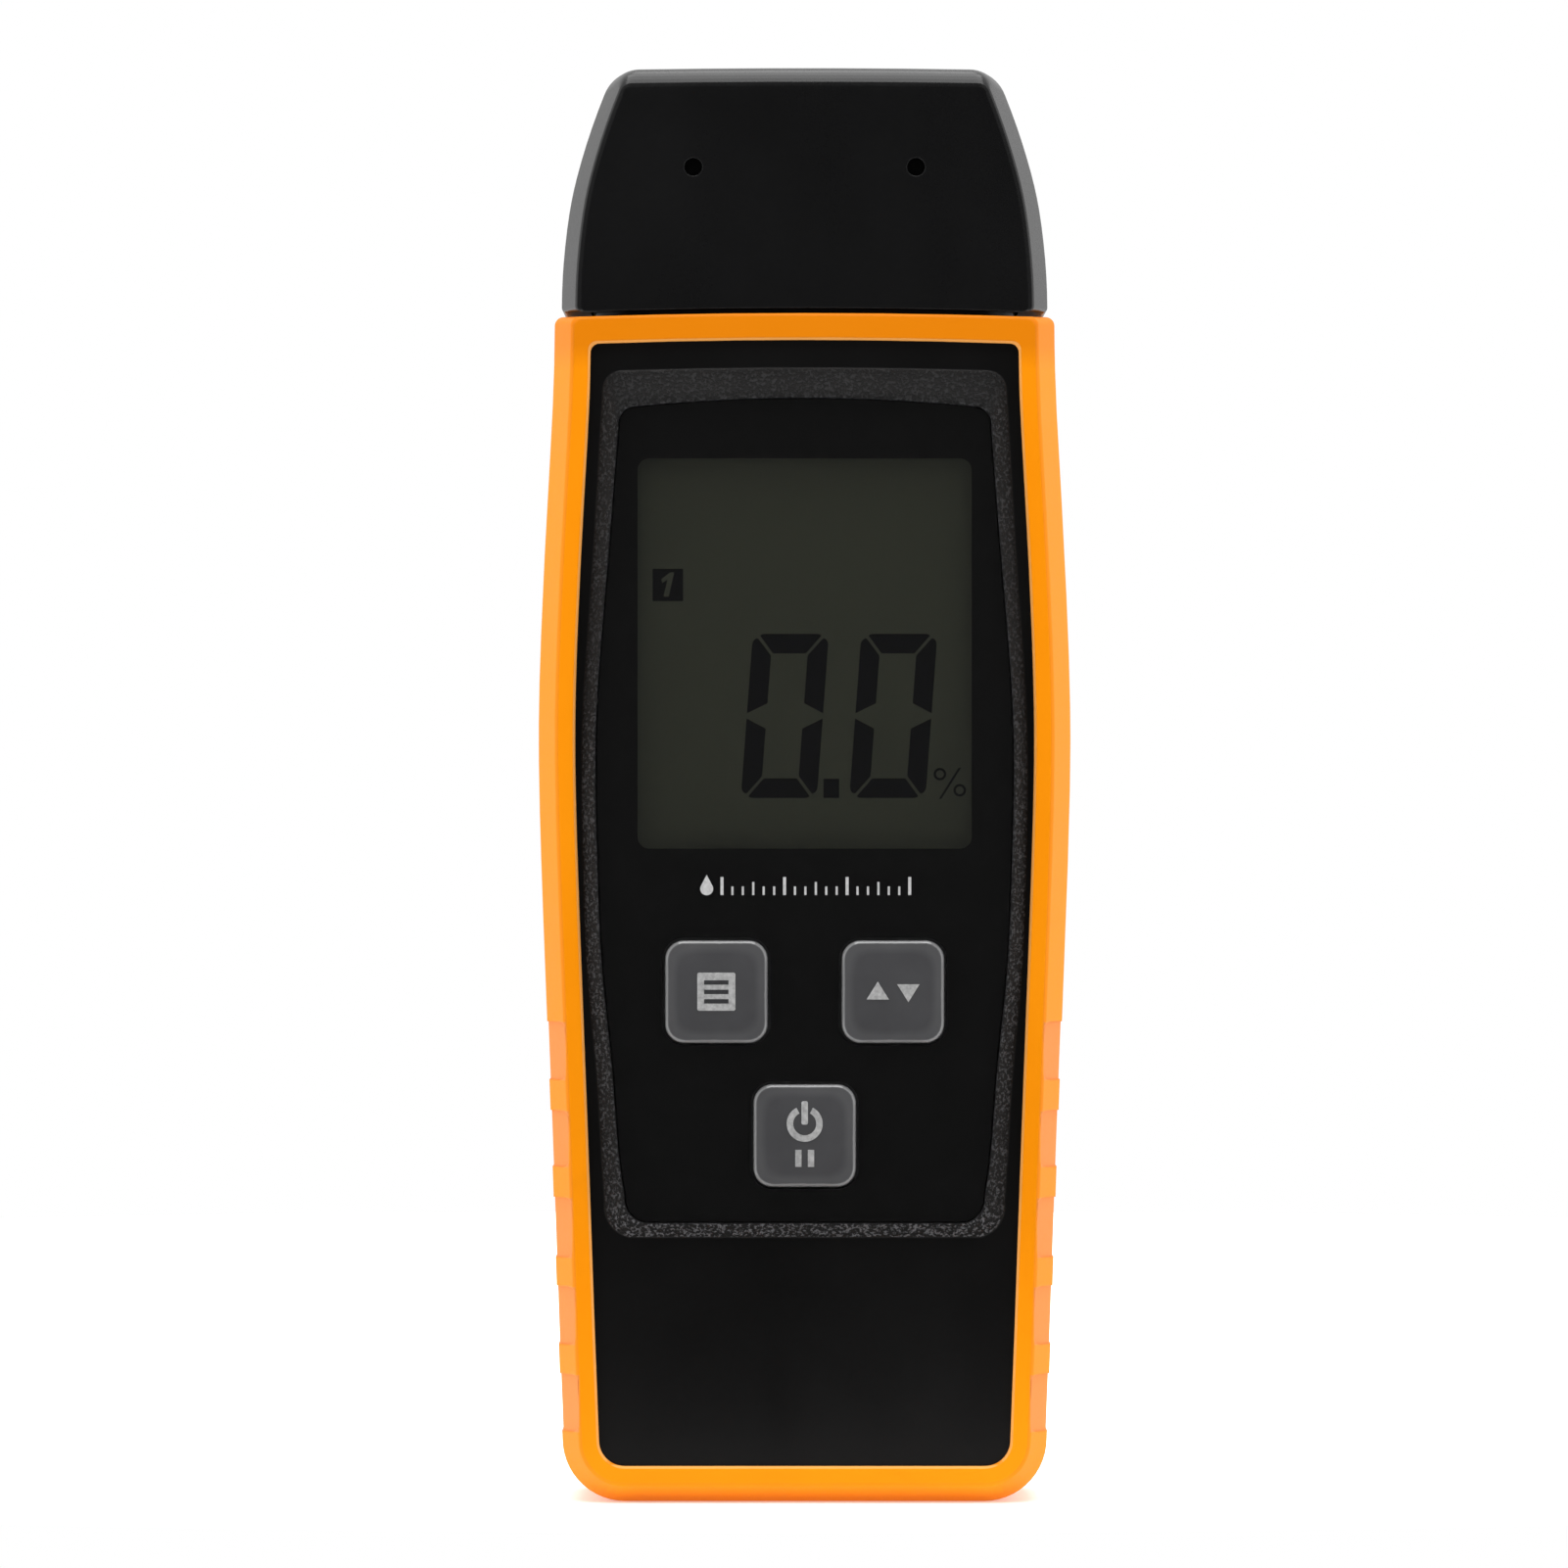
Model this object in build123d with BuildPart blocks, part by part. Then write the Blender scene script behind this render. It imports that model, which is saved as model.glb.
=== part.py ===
from build123d import *
import math
import os

# A handheld two-pin moisture meter, standing on its foot with the capped
# pins up. X is the width, Y the depth (the display faces -Y), Z the length.
# Millimetres.

# ---- overall ---------------------------------------------------------------
BODY_TOP = 132.65      # top of the orange surround, at the middle
CAP_BOTTOM = 133.1     # lower edge of the protective cap, at the middle
CAP_TOP = 160.0        # overall height
CROWN = 0.4            # how much the joint between body and cap is crowned
FOOT_RADIUS = 7.0      # bottom corners of the outline

# ---- depths (front is negative) ----------------------------------------------
RIM_FRONT = -12.3      # crest of the orange surround
SLOPE_START = -8.6     # where its outer slope begins
SLOPE_WIDE = 1.9       # width of that slope, seen from the front
FACE = -11.6           # black front face
FACE_INNER = -9.8      # inside of the front wall
BEZEL = -13.1          # crest of the raised bezel around the lens
LENS_FRONT = -12.9     # front of the lens
LENS_BACK = -11.3      # back of the lens
MASK_BACK = -11.1      # back of the black masking film under the lens
KEY_CREST = -14.0      # top of the domed keys
LCD_FRONT = -9.6
PCB_FRONT = -4.0
PCB_BACK = -2.4
REAR_RIM = 13.4        # crest of the orange surround at the back
REAR_STEP = 12.7       # black wall under the rear lip
REAR_FACE = 14.0       # flat back
REAR_INNER = 12.2      # inside of the rear wall
CAP_FRONT = -12.1
CAP_BACK = 13.2
CAP_ROUND = 2.6        # rounding along the cap's top edges
CAP_CHAMFER = 1.75     # width of the cap's side chamfers, seen from the front
CAP_STRIP = 0.5        # narrow break between each chamfer and the face

# ---- wall build-up, measured inward from the side outline ---------------------
SKIN = 1.8             # thickness of the soft orange overmould
SHOULDER = 3.3         # hard shell's edge under the orange slope
WALL = 3.6             # inside of the hard shell
LIP = 4.15             # inner edge of the orange lip on the face

# ---- window and keys ---------------------------------------------------------
WINDOW_X = 18.6
WINDOW_LOW, WINDOW_HIGH = 72.9, 116.35
KEY_SIZE = 11.4
KEY_R = 2.1
KEY_GAP = 0.3
KEYS = {"mode": (-9.82, 57.0), "set": (9.82, 57.0), "power": (0.0, 41.0)}
KEY_TRAVEL = 0.9

# ---- pins ----------------------------------------------------------------------
PIN_X = 12.4           # half of the 24.8 pin spacing
PIN_R = 0.95
PIN_TIP = 156.5
HEAD_TOP = 145.0       # top of the sensor head
CHECK_Z = 148.8        # height of the two check holes in the cap

# ---- batteries (three AAA) -------------------------------------------------------
CELL_R = 5.25
CELL_L = 44.5
CELL_PITCH = 11.2
CELL_Y = 1.2 + CELL_R
TRAY_X = 16.9
TRAY_LOW, TRAY_HIGH = 7.2, 56.8
DOOR_X = 17.85
DOOR_LOW, DOOR_HIGH = 6.95, 57.5
DOOR_GAP = 0.25

# ---- screws ------------------------------------------------------------------------
CASE_SCREWS = [(-21.0, 63.0), (21.0, 63.0), (-20.3, 124.2), (20.3, 124.2)]
PCB_SCREWS = [(-18.8, 49.0), (18.8, 49.0), (-18.5, 31.5), (18.5, 31.5)]

BODY_SIDE = [(27.05, 7), (27.55, 20), (28.1, 36), (28.85, 56), (29.5, 74),
             (29.7, 86), (29.35, 99), (28.7, 112), (28.15, 122)]
CAP_SIDE = [(27.0, 137.0), (26.6, 141.4), (25.95, 145.6), (24.95, 149.6),
            (23.75, 153.4), (22.55, 156.6)]
BEZEL_SIDE = [(22.3, 33.6), (22.6, 38), (23.2, 48), (24.2, 58.3), (24.75, 72),
              (24.8, 86), (23.8, 102), (22.85, 118), (22.5, 124.2)]
LENS_SIDE = [(20.0, 34.3), (20.55, 38), (21.35, 48), (22.4, 58.3), (23.05, 72),
             (23.2, 86), (22.1, 102), (20.95, 116.5), (20.7, 119.8)]


def front(y):
    """A plane facing the viewer at depth y: local x is X, local y is Z."""
    return Plane.XZ.offset(-y)


def closed_outline(y, side, low, r_low, high, r_high, crown, low_crown=0.0, mid=None):
    """A face at depth y: a foot, two curved sides and a crowned top edge.
    mid places the middle of the top corner arcs, where the sides lean in."""
    x0, z0 = side[0]
    x1, z1 = side[-1]
    c = math.sqrt(0.5)
    mx, mz = mid or (c, c)
    with BuildSketch(front(y), mode=Mode.PRIVATE) as face:
        with BuildLine():
            if low_crown:
                ThreePointArc((-(x0 - r_low), low), (0, low + low_crown), (x0 - r_low, low))
            else:
                Line((-(x0 - r_low), low), (x0 - r_low, low))
            ThreePointArc(
                (x0 - r_low, low),
                (x0 - r_low + r_low * c, z0 - (z0 - low) * c),
                (x0, z0),
            )
            Spline(*side)
            ThreePointArc(
                (x1, z1),
                (x1 - r_high + r_high * mx, z1 + (high - z1) * mz),
                (x1 - r_high, high),
            )
            ThreePointArc((x1 - r_high, high), (0, high + crown), (-(x1 - r_high), high))
            ThreePointArc(
                (-(x1 - r_high), high),
                (-(x1 - r_high + r_high * mx), z1 + (high - z1) * mz),
                (-x1, z1),
            )
            Spline(*[(-x, z) for x, z in reversed(side)])
            ThreePointArc(
                (-x0, z0),
                (-(x0 - r_low + r_low * c), z0 - (z0 - low) * c),
                (-(x0 - r_low), low),
            )
        make_face()
    return face.sketch


def body(y, n, top=None):
    """The body's outline drawn in by n at the sides and foot, by top at the top."""
    drop = n * 0.747 if top is None else top
    high = BODY_TOP - CROWN - drop
    z_end = high - 1.0
    side = [(x - n, z) for x, z in BODY_SIDE]
    side.append((28.15 - n - (z_end - 122) * 0.026, z_end))
    r = FOOT_RADIUS - n
    return closed_outline(y, side, n, max(r, 0.8), high, 1.0, CROWN)


def cap(y, n, top=None):
    """The cap's outline drawn in by n at the sides, by top at the top."""
    drop = n if top is None else top
    side = [(27.12 - n, CAP_BOTTOM - CROWN + 0.6)]
    side += [(x - n, z) for x, z in CAP_SIDE[:-1]]
    r_high = max(4.0 - 1.5 * n, 0.7)
    high = CAP_TOP - drop - 0.15
    # corner arcs run tangent into the sides, which lean in by 20.6 degrees there
    lean = math.radians(20.6)
    half = (lean + math.pi / 2) / 2
    z_end = high - r_high * (1 - math.sin(lean)) / math.cos(lean)
    mid = (math.cos(half) / math.cos(lean),
           (math.sin(half) - math.sin(lean)) / (1 - math.sin(lean)))
    (xa, za), (xb, zb) = CAP_SIDE[-2:]
    side.append((xa + (xb - xa) * (z_end - za) / (zb - za) - n, z_end))
    return closed_outline(
        y, side, CAP_BOTTOM - CROWN, 0.6, high, r_high, 0.15, CROWN, mid
    )


def cap_edge(y0, y1):
    """Outlines from the cap's full section to its flat face: a straight chamfer at
    the sides that breaks into a narrow strip, and a quarter round along the top."""
    stages, radius, reach = [], CAP_ROUND, abs(y1 - y0)
    way = 1 if y1 > y0 else -1
    for k in range(10):
        a = math.radians(90 * k / 9)
        depth = reach - radius + radius * math.sin(a)
        drop = radius * (1 - math.cos(a))
        if k == 0:
            stages.append(cap(y0, 0, 0))
        n = CAP_CHAMFER * depth / reach
        if depth > reach - 0.2:
            n += CAP_STRIP * (depth - reach + 0.2) / 0.2
        stages.append(cap(y0 + way * depth, n, drop))
    return stages


def bezel(y, t, grow=0.0):
    """From the bezel's outer edge (t = 0) to the lens edge (t = 1)."""
    side = [
        (a[0] + (b[0] - a[0]) * t + grow, a[1] + (b[1] - a[1]) * t)
        for a, b in zip(BEZEL_SIDE, LENS_SIDE)
    ]
    low = 29.6 + 1.7 * t - grow
    high = 126.2 - 4.15 * t + grow
    return closed_outline(
        y, side, low, 2.7 - 0.4 * t + grow, high, 2.2 - 0.7 * t + grow, 0.3 + 0.7 * t
    )


def slab(shape, y0, y1, mode=Mode.ADD):
    """Fill the depth y0 to y1 with a front-view shape."""
    extrude(shape(y1), amount=y1 - y0, mode=mode)


def taper(stages, mode=Mode.ADD):
    """Straight-sided skin through two or more front-view outlines."""
    for a, b in zip(stages[:-1], stages[1:]):
        loft([a.face(), b.face()], ruled=True, mode=mode)


def block(x0, x1, y0, y1, z0, z1, mode=Mode.ADD):
    with Locations(((x0 + x1) / 2, (y0 + y1) / 2, (z0 + z1) / 2)):
        Box(x1 - x0, y1 - y0, z1 - z0, mode=mode)


def rod_y(x, z, r, y0, y1, mode=Mode.ADD):
    with Locations((x, (y0 + y1) / 2, z)):
        Cylinder(r, y1 - y0, rotation=(90, 0, 0), mode=mode)


def rod_z(x, y, r, z0, z1, mode=Mode.ADD):
    with Locations((x, y, (z0 + z1) / 2)):
        Cylinder(r, z1 - z0, mode=mode)


def rounded(x, z, w, h, r, y0, y1, mode=Mode.ADD):
    """A rounded rectangle in front view between two depths."""
    with BuildSketch(front(y1), mode=Mode.PRIVATE) as plate:
        with Locations((x, z)):
            RectangleRounded(w, h, r)
    extrude(plate.sketch, amount=y1 - y0, mode=mode)


def upright(w, d, r, z0, z1, mode=Mode.ADD):
    """A rounded rectangle in plan, centred, between two heights."""
    with BuildSketch(Plane.XY.offset(z0), mode=Mode.PRIVATE) as plan:
        RectangleRounded(w, d, r)
    extrude(plan.sketch, amount=z1 - z0, mode=mode)


# Five shallow finger grips down each side of the orange surround.
GRIPS = [(7.9, 14.3), (17.6, 24.1), (27.3, 34.0), (37.4, 43.7), (47.1, 53.6)]
GRIP_DEPTH = 0.15


def side_at(z):
    """Half width of the body at height z."""
    for (xa, za), (xb, zb) in zip(BODY_SIDE[:-1], BODY_SIDE[1:]):
        if za <= z <= zb:
            return xa + (xb - xa) * (z - za) / (zb - za)
    return BODY_SIDE[0][0]


# ============================================================================
# Soft orange overmould, front half
# ============================================================================
with BuildPart() as front_grip_cut:
    for low, high in GRIPS:
        x = side_at((low + high) / 2)
        for s in (-1, 1):
            rounded(s * (x + 0.95), (low + high) / 2, 6.0, high - low, 0.8, -13.0, -0.6)
    slab(lambda y: body(y, GRIP_DEPTH), -8.5, 0.0, Mode.SUBTRACT)
    taper([body(-8.5, GRIP_DEPTH), body(-11.9, SLOPE_WIDE + GRIP_DEPTH)], Mode.SUBTRACT)

with BuildPart() as front_bumper:
    slab(lambda y: body(y, 0, 0), SLOPE_START, -0.15)
    slab(lambda y: body(y, 0.15, 0.1), -0.15, 0.0)
    taper([body(SLOPE_START, 0, 0), body(-12.05, SLOPE_WIDE, 0.12), body(RIM_FRONT, SLOPE_WIDE + 0.35, 0.4)])
    slab(lambda y: body(y, LIP, 3.1), -13.0, 0.0, Mode.SUBTRACT)
    taper([body(-12.35, LIP - 0.3, 2.8), body(-12.0, LIP, 3.1)], Mode.SUBTRACT)
    slab(lambda y: body(y, SKIN), SLOPE_START, 0.0, Mode.SUBTRACT)
    taper([body(SLOPE_START, SKIN), body(FACE, SHOULDER)], Mode.SUBTRACT)
    add(front_grip_cut.part, mode=Mode.SUBTRACT)
    block(-23.5, 23.5, -8.95, 0.0, 126.0, 134.0, Mode.SUBTRACT)
front_bumper.part.label = "front_bumper"

# ============================================================================
# Soft orange overmould, rear half
# ============================================================================
with BuildPart() as rear_grip_cut:
    for low, high in GRIPS:
        x = side_at((low + high) / 2)
        for s in (-1, 1):
            rounded(s * (x + 0.95), (low + high) / 2, 6.0, high - low, 0.8, 0.6, 14.0)
    slab(lambda y: body(y, GRIP_DEPTH), 0.0, 9.6, Mode.SUBTRACT)
    taper([body(9.6, GRIP_DEPTH), body(13.0, SLOPE_WIDE + GRIP_DEPTH)], Mode.SUBTRACT)

with BuildPart() as rear_bumper:
    slab(lambda y: body(y, 0.15, 0.1), 0.0, 0.15)
    slab(lambda y: body(y, 0, 0), 0.15, 9.7)
    taper([body(9.7, 0, 0), body(13.15, SLOPE_WIDE, 0.12), body(REAR_RIM, SLOPE_WIDE + 0.35, 0.4)])
    slab(lambda y: body(y, LIP, 3.1), 0.0, 14.0, Mode.SUBTRACT)
    slab(lambda y: body(y, SKIN), 0.0, 9.7, Mode.SUBTRACT)
    taper([body(9.7, SKIN), body(REAR_STEP, SHOULDER)], Mode.SUBTRACT)
    add(rear_grip_cut.part, mode=Mode.SUBTRACT)
    block(-23.5, 23.5, 0.0, 8.95, 126.0, 134.0, Mode.SUBTRACT)
rear_bumper.part.label = "rear_bumper"

# ============================================================================
# Hard black front shell: wall, raised bezel with its lens pocket, window,
# key holes, bosses and posts
# ============================================================================
with BuildPart() as front_case:
    slab(lambda y: body(y, SKIN), SLOPE_START, 0.0)
    taper([body(SLOPE_START, SKIN), body(FACE, SHOULDER)])
    slab(lambda y: body(y, WALL), FACE_INNER, 0.0, Mode.SUBTRACT)
    slab(lambda y: body(y, 2.6), -1.2, 0.0, Mode.SUBTRACT)
    for x, z in CASE_SCREWS:
        rod_y(x, z, 2.3, FACE_INNER - 0.2, -0.1)
    for x, z in PCB_SCREWS:
        rod_y(x, z, 2.1, FACE_INNER - 0.2, PCB_FRONT)
    # ledge under the sensor head's flange, and two stiffening ribs
    block(-17.0, 17.0, FACE_INNER - 0.2, -8.6, 125.2, 126.6)
    block(-22.0, -14.0, FACE_INNER - 0.2, -6.0, 26.2, 27.2)
    block(14.0, 22.0, FACE_INNER - 0.2, -6.0, 26.2, 27.2)
    block(-12.0, 12.0, FACE_INNER - 0.2, -5.0, 12.0, 13.0)
    block(-0.6, 0.6, FACE_INNER - 0.2, -5.0, 6.0, 24.0)
    taper([bezel(FACE, 0), bezel(-12.95, 0.78), bezel(BEZEL, 0.93)])
    slab(lambda y: bezel(y, 1.0, 0.05), -14.0, MASK_BACK, Mode.SUBTRACT)
    rounded(0, (WINDOW_LOW + WINDOW_HIGH) / 2, 39.2, WINDOW_HIGH - WINDOW_LOW + 2.0,
            1.5, -12.0, -9.0, Mode.SUBTRACT)
    for x, z in KEYS.values():
        rounded(x, z, KEY_SIZE + 2 * KEY_GAP, KEY_SIZE + 2 * KEY_GAP, KEY_R + KEY_GAP,
                -12.0, -9.0, Mode.SUBTRACT)
    for x, z in CASE_SCREWS:
        rod_y(x, z, 1.0, -8.0, 0.0, Mode.SUBTRACT)
    for x, z in PCB_SCREWS:
        rod_y(x, z, 0.8, -9.0, PCB_FRONT, Mode.SUBTRACT)
    block(-23.5, 23.5, -8.95, 0.0, 127.5, 134.0, Mode.SUBTRACT)
front_case.part.label = "front_case"

# ============================================================================
# Hard black rear shell with the battery tray
# ============================================================================
with BuildPart() as rear_case:
    slab(lambda y: body(y, SKIN), 0.0, 9.7)
    taper([body(9.7, SKIN), body(REAR_STEP, SHOULDER)])
    slab(lambda y: body(y, LIP + 0.1, 3.2), REAR_STEP, 13.75)
    taper([body(13.75, LIP + 0.1, 3.2), body(REAR_FACE, LIP + 0.35, 3.45)])
    slab(lambda y: body(y, WALL), 0.0, 10.9, Mode.SUBTRACT)
    slab(lambda y: body(y, 5.9, 4.6), 10.9, REAR_INNER, Mode.SUBTRACT)
    # tongue that enters the front shell's groove
    with BuildPart(mode=Mode.PRIVATE) as tongue:
        slab(lambda y: body(y, 2.65, 1.99), -1.0, 0.0)
        slab(lambda y: body(y, WALL), -1.0, 0.0, Mode.SUBTRACT)
    add(tongue.part)
    # battery tray
    block(-19.0, 19.0, 0.2, REAR_INNER + 0.2, 5.4, 59.0)
    # screw bosses
    for x, z in CASE_SCREWS:
        rod_y(x, z, 2.9, 0.0, REAR_INNER + 0.2)
    # ledge behind the sensor head
    block(-15.0, 15.0, 9.4, REAR_INNER + 0.2, 124.8, 126.4)
    block(-TRAY_X, TRAY_X, 1.2, 12.5, TRAY_LOW, TRAY_HIGH, Mode.SUBTRACT)
    # door opening
    block(-DOOR_X - DOOR_GAP, DOOR_X + DOOR_GAP, 12.0, 15.0,
          DOOR_LOW - DOOR_GAP, DOOR_HIGH + DOOR_GAP, Mode.SUBTRACT)
    block(-5.45, 5.45, 12.0, 15.0, 5.2, 8.0, Mode.SUBTRACT)
    # pockets for the door's two hinge toes
    for s in (-1, 1):
        block(min(s * 2.8, s * 6.6), max(s * 2.8, s * 6.6), 10.1, 12.2, 54.0, 60.5, Mode.SUBTRACT)
    # slots for the battery terminals
    block(-13.3, -9.7, 0.0, 1.4, TRAY_LOW, TRAY_LOW + 0.6, Mode.SUBTRACT)
    block(9.7, 13.3, 0.0, 1.4, TRAY_HIGH - 0.6, TRAY_HIGH, Mode.SUBTRACT)
    # screw clearance and counterbores, open at the back
    for x, z in CASE_SCREWS:
        rod_y(x, z, 1.25, -0.5, 15.0, Mode.SUBTRACT)
        rod_y(x, z, 2.15, 8.0, 15.0, Mode.SUBTRACT)
    # shallow recess for the rating label
    rounded(0, 94.0, 34.0, 40.0, 1.5, 13.8, 15.0, Mode.SUBTRACT)
    # opening for the sensor head
    block(-23.5, 23.5, -1.5, 8.95, 126.5, 134.0, Mode.SUBTRACT)
    block(-23.9, 23.9, -1.5, 9.75, 126.5, 129.2, Mode.SUBTRACT)
rear_case.part.label = "rear_case"

# ============================================================================
# Display lens, its masking film, and the display itself
# ============================================================================
with BuildPart() as display_lens:
    slab(lambda y: bezel(y, 1.0), LENS_FRONT + 0.15, LENS_BACK)
    taper([bezel(LENS_FRONT + 0.15, 1.0), bezel(LENS_FRONT, 1.0, -0.15)])
    for x, z in KEYS.values():
        rounded(x, z, KEY_SIZE + 2 * KEY_GAP, KEY_SIZE + 2 * KEY_GAP, KEY_R + KEY_GAP,
                -14.0, -11.0, Mode.SUBTRACT)
display_lens.part.label = "display_lens"

with BuildPart() as lens_mask:
    slab(lambda y: bezel(y, 1.0, -0.1), LENS_BACK, MASK_BACK)
    rounded(0, (WINDOW_LOW + WINDOW_HIGH) / 2, 2 * WINDOW_X, WINDOW_HIGH - WINDOW_LOW,
            1.3, -12.0, -11.0, Mode.SUBTRACT)
    for x, z in KEYS.values():
        rounded(x, z, KEY_SIZE + 2 * KEY_GAP, KEY_SIZE + 2 * KEY_GAP, KEY_R + KEY_GAP,
                -12.0, -11.0, Mode.SUBTRACT)
lens_mask.part.label = "lens_mask"

with BuildPart() as lcd_frame:
    block(-22.2, 22.2, FACE_INNER, PCB_FRONT, 67.0, 121.0)
    block(-21.0, 21.0, -11.0, -3.0, 68.2, 119.8, Mode.SUBTRACT)
lcd_frame.part.label = "lcd_frame"

with BuildPart() as lcd_polarizers:
    block(-20.4, 20.4, LCD_FRONT, LCD_FRONT + 0.2, 71.6, 118.4)
    block(-20.4, 20.4, LCD_FRONT + 2.4, LCD_FRONT + 2.6, 71.6, 118.4)
lcd_polarizers.part.label = "lcd_polarizers"

with BuildPart() as lcd_front_glass:
    block(-21.0, 21.0, LCD_FRONT + 0.2, LCD_FRONT + 1.3, 71.0, 119.8)
lcd_front_glass.part.label = "lcd_front_glass"

with BuildPart() as lcd_rear_glass:
    block(-21.0, 21.0, LCD_FRONT + 1.3, LCD_FRONT + 2.4, 68.2, 119.8)
lcd_rear_glass.part.label = "lcd_rear_glass"

with BuildPart() as light_guide:
    block(-20.4, 20.4, LCD_FRONT + 2.6, PCB_FRONT, 71.6, 115.6)
light_guide.part.label = "light_guide"

with BuildPart() as backlight_led:
    for x in (-10.0, 10.0):
        block(x - 1.6, x + 1.6, PCB_FRONT - 1.6, PCB_FRONT, 115.6, 117.2)
backlight_led.part.label = "backlight_led"

with BuildPart() as zebra_strip:
    block(-20.0, 20.0, LCD_FRONT + 2.4, PCB_FRONT, 68.4, 70.4)
zebra_strip.part.label = "zebra_strip"

# ============================================================================
# Circuit board and what is soldered to it
# ============================================================================
with BuildPart() as main_pcb:
    rounded(0, (28.0 + 121.8) / 2, 44.4, 121.8 - 28.0, 1.5, PCB_FRONT, PCB_BACK)
    for x, z in CASE_SCREWS:
        rod_y(x, z, 3.2, -5.0, -1.0, Mode.SUBTRACT)
    for x, z in PCB_SCREWS:
        rod_y(x, z, 1.0, -5.0, -1.0, Mode.SUBTRACT)
main_pcb.part.label = "main_pcb"

with BuildPart() as processor_chip:
    rounded(-2.0, 92.0, 10.0, 10.0, 0.3, PCB_BACK + 0.15, PCB_BACK + 1.6)
    for s in (-1, 1):
        for i in range(9):
            p = (i - 4) * 1.0
            block(-2 + s * 5.6 - 0.6, -2 + s * 5.6 + 0.6, PCB_BACK, PCB_BACK + 0.25,
                  92 + p - 0.2, 92 + p + 0.2)
            block(-2 + p - 0.2, -2 + p + 0.2, PCB_BACK, PCB_BACK + 0.25,
                  92 + s * 5.6 - 0.6, 92 + s * 5.6 + 0.6)
processor_chip.part.label = "processor_chip"

with BuildPart() as amplifier_chip:
    block(6.0, 10.0, PCB_BACK + 0.15, PCB_BACK + 1.5, 105.0, 110.0)
    for i in range(4):
        for s in (-1, 1):
            block(8 + s * 2.5 - 0.7, 8 + s * 2.5 + 0.7, PCB_BACK, PCB_BACK + 0.3,
                  105.6 + i * 1.27 - 0.2, 105.6 + i * 1.27 + 0.2)
amplifier_chip.part.label = "amplifier_chip"

with BuildPart() as chip_capacitors:
    for x, z in [(-12, 84), (-12, 88), (-12, 100), (6, 84), (12, 96), (12, 100), (2, 112), (-4, 112)]:
        block(x - 1.0, x + 1.0, PCB_BACK, PCB_BACK + 0.9, z - 0.6, z + 0.6)
chip_capacitors.part.label = "chip_capacitors"

with BuildPart() as reservoir_capacitor:
    rod_y(14.0, 80.0, 3.15, PCB_BACK + 0.4, PCB_BACK + 5.4)
    block(10.7, 17.3, PCB_BACK, PCB_BACK + 0.5, 76.7, 83.3)
reservoir_capacitor.part.label = "reservoir_capacitor"

with BuildPart() as timing_crystal:
    rounded(-14.0, 72.0, 4.6, 11.0, 2.2, PCB_BACK, PCB_BACK + 3.6)
timing_crystal.part.label = "timing_crystal"

with BuildPart() as trimmer:
    block(9.0, 13.0, PCB_BACK, PCB_BACK + 1.8, 113.0, 117.0)
    rod_y(11.0, 115.0, 1.4, PCB_BACK + 1.8, PCB_BACK + 2.4)
    block(9.9, 12.1, PCB_BACK + 2.0, PCB_BACK + 3.0, 114.75, 115.25, Mode.SUBTRACT)
trimmer.part.label = "trimmer"

with BuildPart() as pcb_screws:
    for x, z in PCB_SCREWS:
        rod_y(x, z, 0.8, PCB_BACK - 6.0, PCB_BACK)
        rod_y(x, z, 1.7, PCB_BACK, PCB_BACK + 1.3)
        block(x - 1.1, x + 1.1, PCB_BACK + 0.7, PCB_BACK + 2.0, z - 0.2, z + 0.2, Mode.SUBTRACT)
        block(x - 0.2, x + 0.2, PCB_BACK + 0.7, PCB_BACK + 2.0, z - 1.1, z + 1.1, Mode.SUBTRACT)
pcb_screws.part.label = "pcb_screws"

with BuildPart() as case_screws:
    for x, z in CASE_SCREWS:
        rod_y(x, z, 1.0, -7.0, 8.0)
        rod_y(x, z, 1.9, 8.0, 9.6)
        block(x - 1.3, x + 1.3, 8.8, 10.0, z - 0.25, z + 0.25, Mode.SUBTRACT)
        block(x - 0.25, x + 0.25, 8.8, 10.0, z - 1.3, z + 1.3, Mode.SUBTRACT)
case_screws.part.label = "case_screws"


# ============================================================================
# Keys: a domed cap, a rubber plunger and a carbon pill each
# ============================================================================
def keycap(x, z):
    """A square key with rounded corners, a domed face and a retaining flange."""
    rounded(x, z, KEY_SIZE, KEY_SIZE, KEY_R, KEY_CREST - 0.5, -9.3)
    with Locations((x, KEY_CREST + 34.0, z)):
        Sphere(34.0, mode=Mode.INTERSECT)
    crown = (faces().sort_by(Axis.Y)[0]).outer_wire().edges()
    fillet(crown, 0.55)
    rounded(x, z, KEY_SIZE + 1.8, KEY_SIZE + 1.8, KEY_R, -9.5, -8.5)


with BuildPart() as key_mode:
    keycap(*KEYS["mode"])
key_mode.part.label = "key_mode"

with BuildPart() as key_set:
    keycap(*KEYS["set"])
key_set.part.label = "key_set"

with BuildPart() as key_power:
    keycap(*KEYS["power"])
key_power.part.label = "key_power"

with BuildPart() as plunger_mode:
    rounded(KEYS["mode"][0], KEYS["mode"][1], 8.0, 8.0, 1.0, -8.5, -5.35)
plunger_mode.part.label = "plunger_mode"

with BuildPart() as plunger_set:
    rounded(KEYS["set"][0], KEYS["set"][1], 8.0, 8.0, 1.0, -8.5, -5.35)
plunger_set.part.label = "plunger_set"

with BuildPart() as plunger_power:
    rounded(KEYS["power"][0], KEYS["power"][1], 8.0, 8.0, 1.0, -8.5, -5.35)
plunger_power.part.label = "plunger_power"

with BuildPart() as pill_mode:
    rod_y(KEYS["mode"][0], KEYS["mode"][1], 2.0, -5.35, -4.95)
pill_mode.part.label = "pill_mode"

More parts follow.
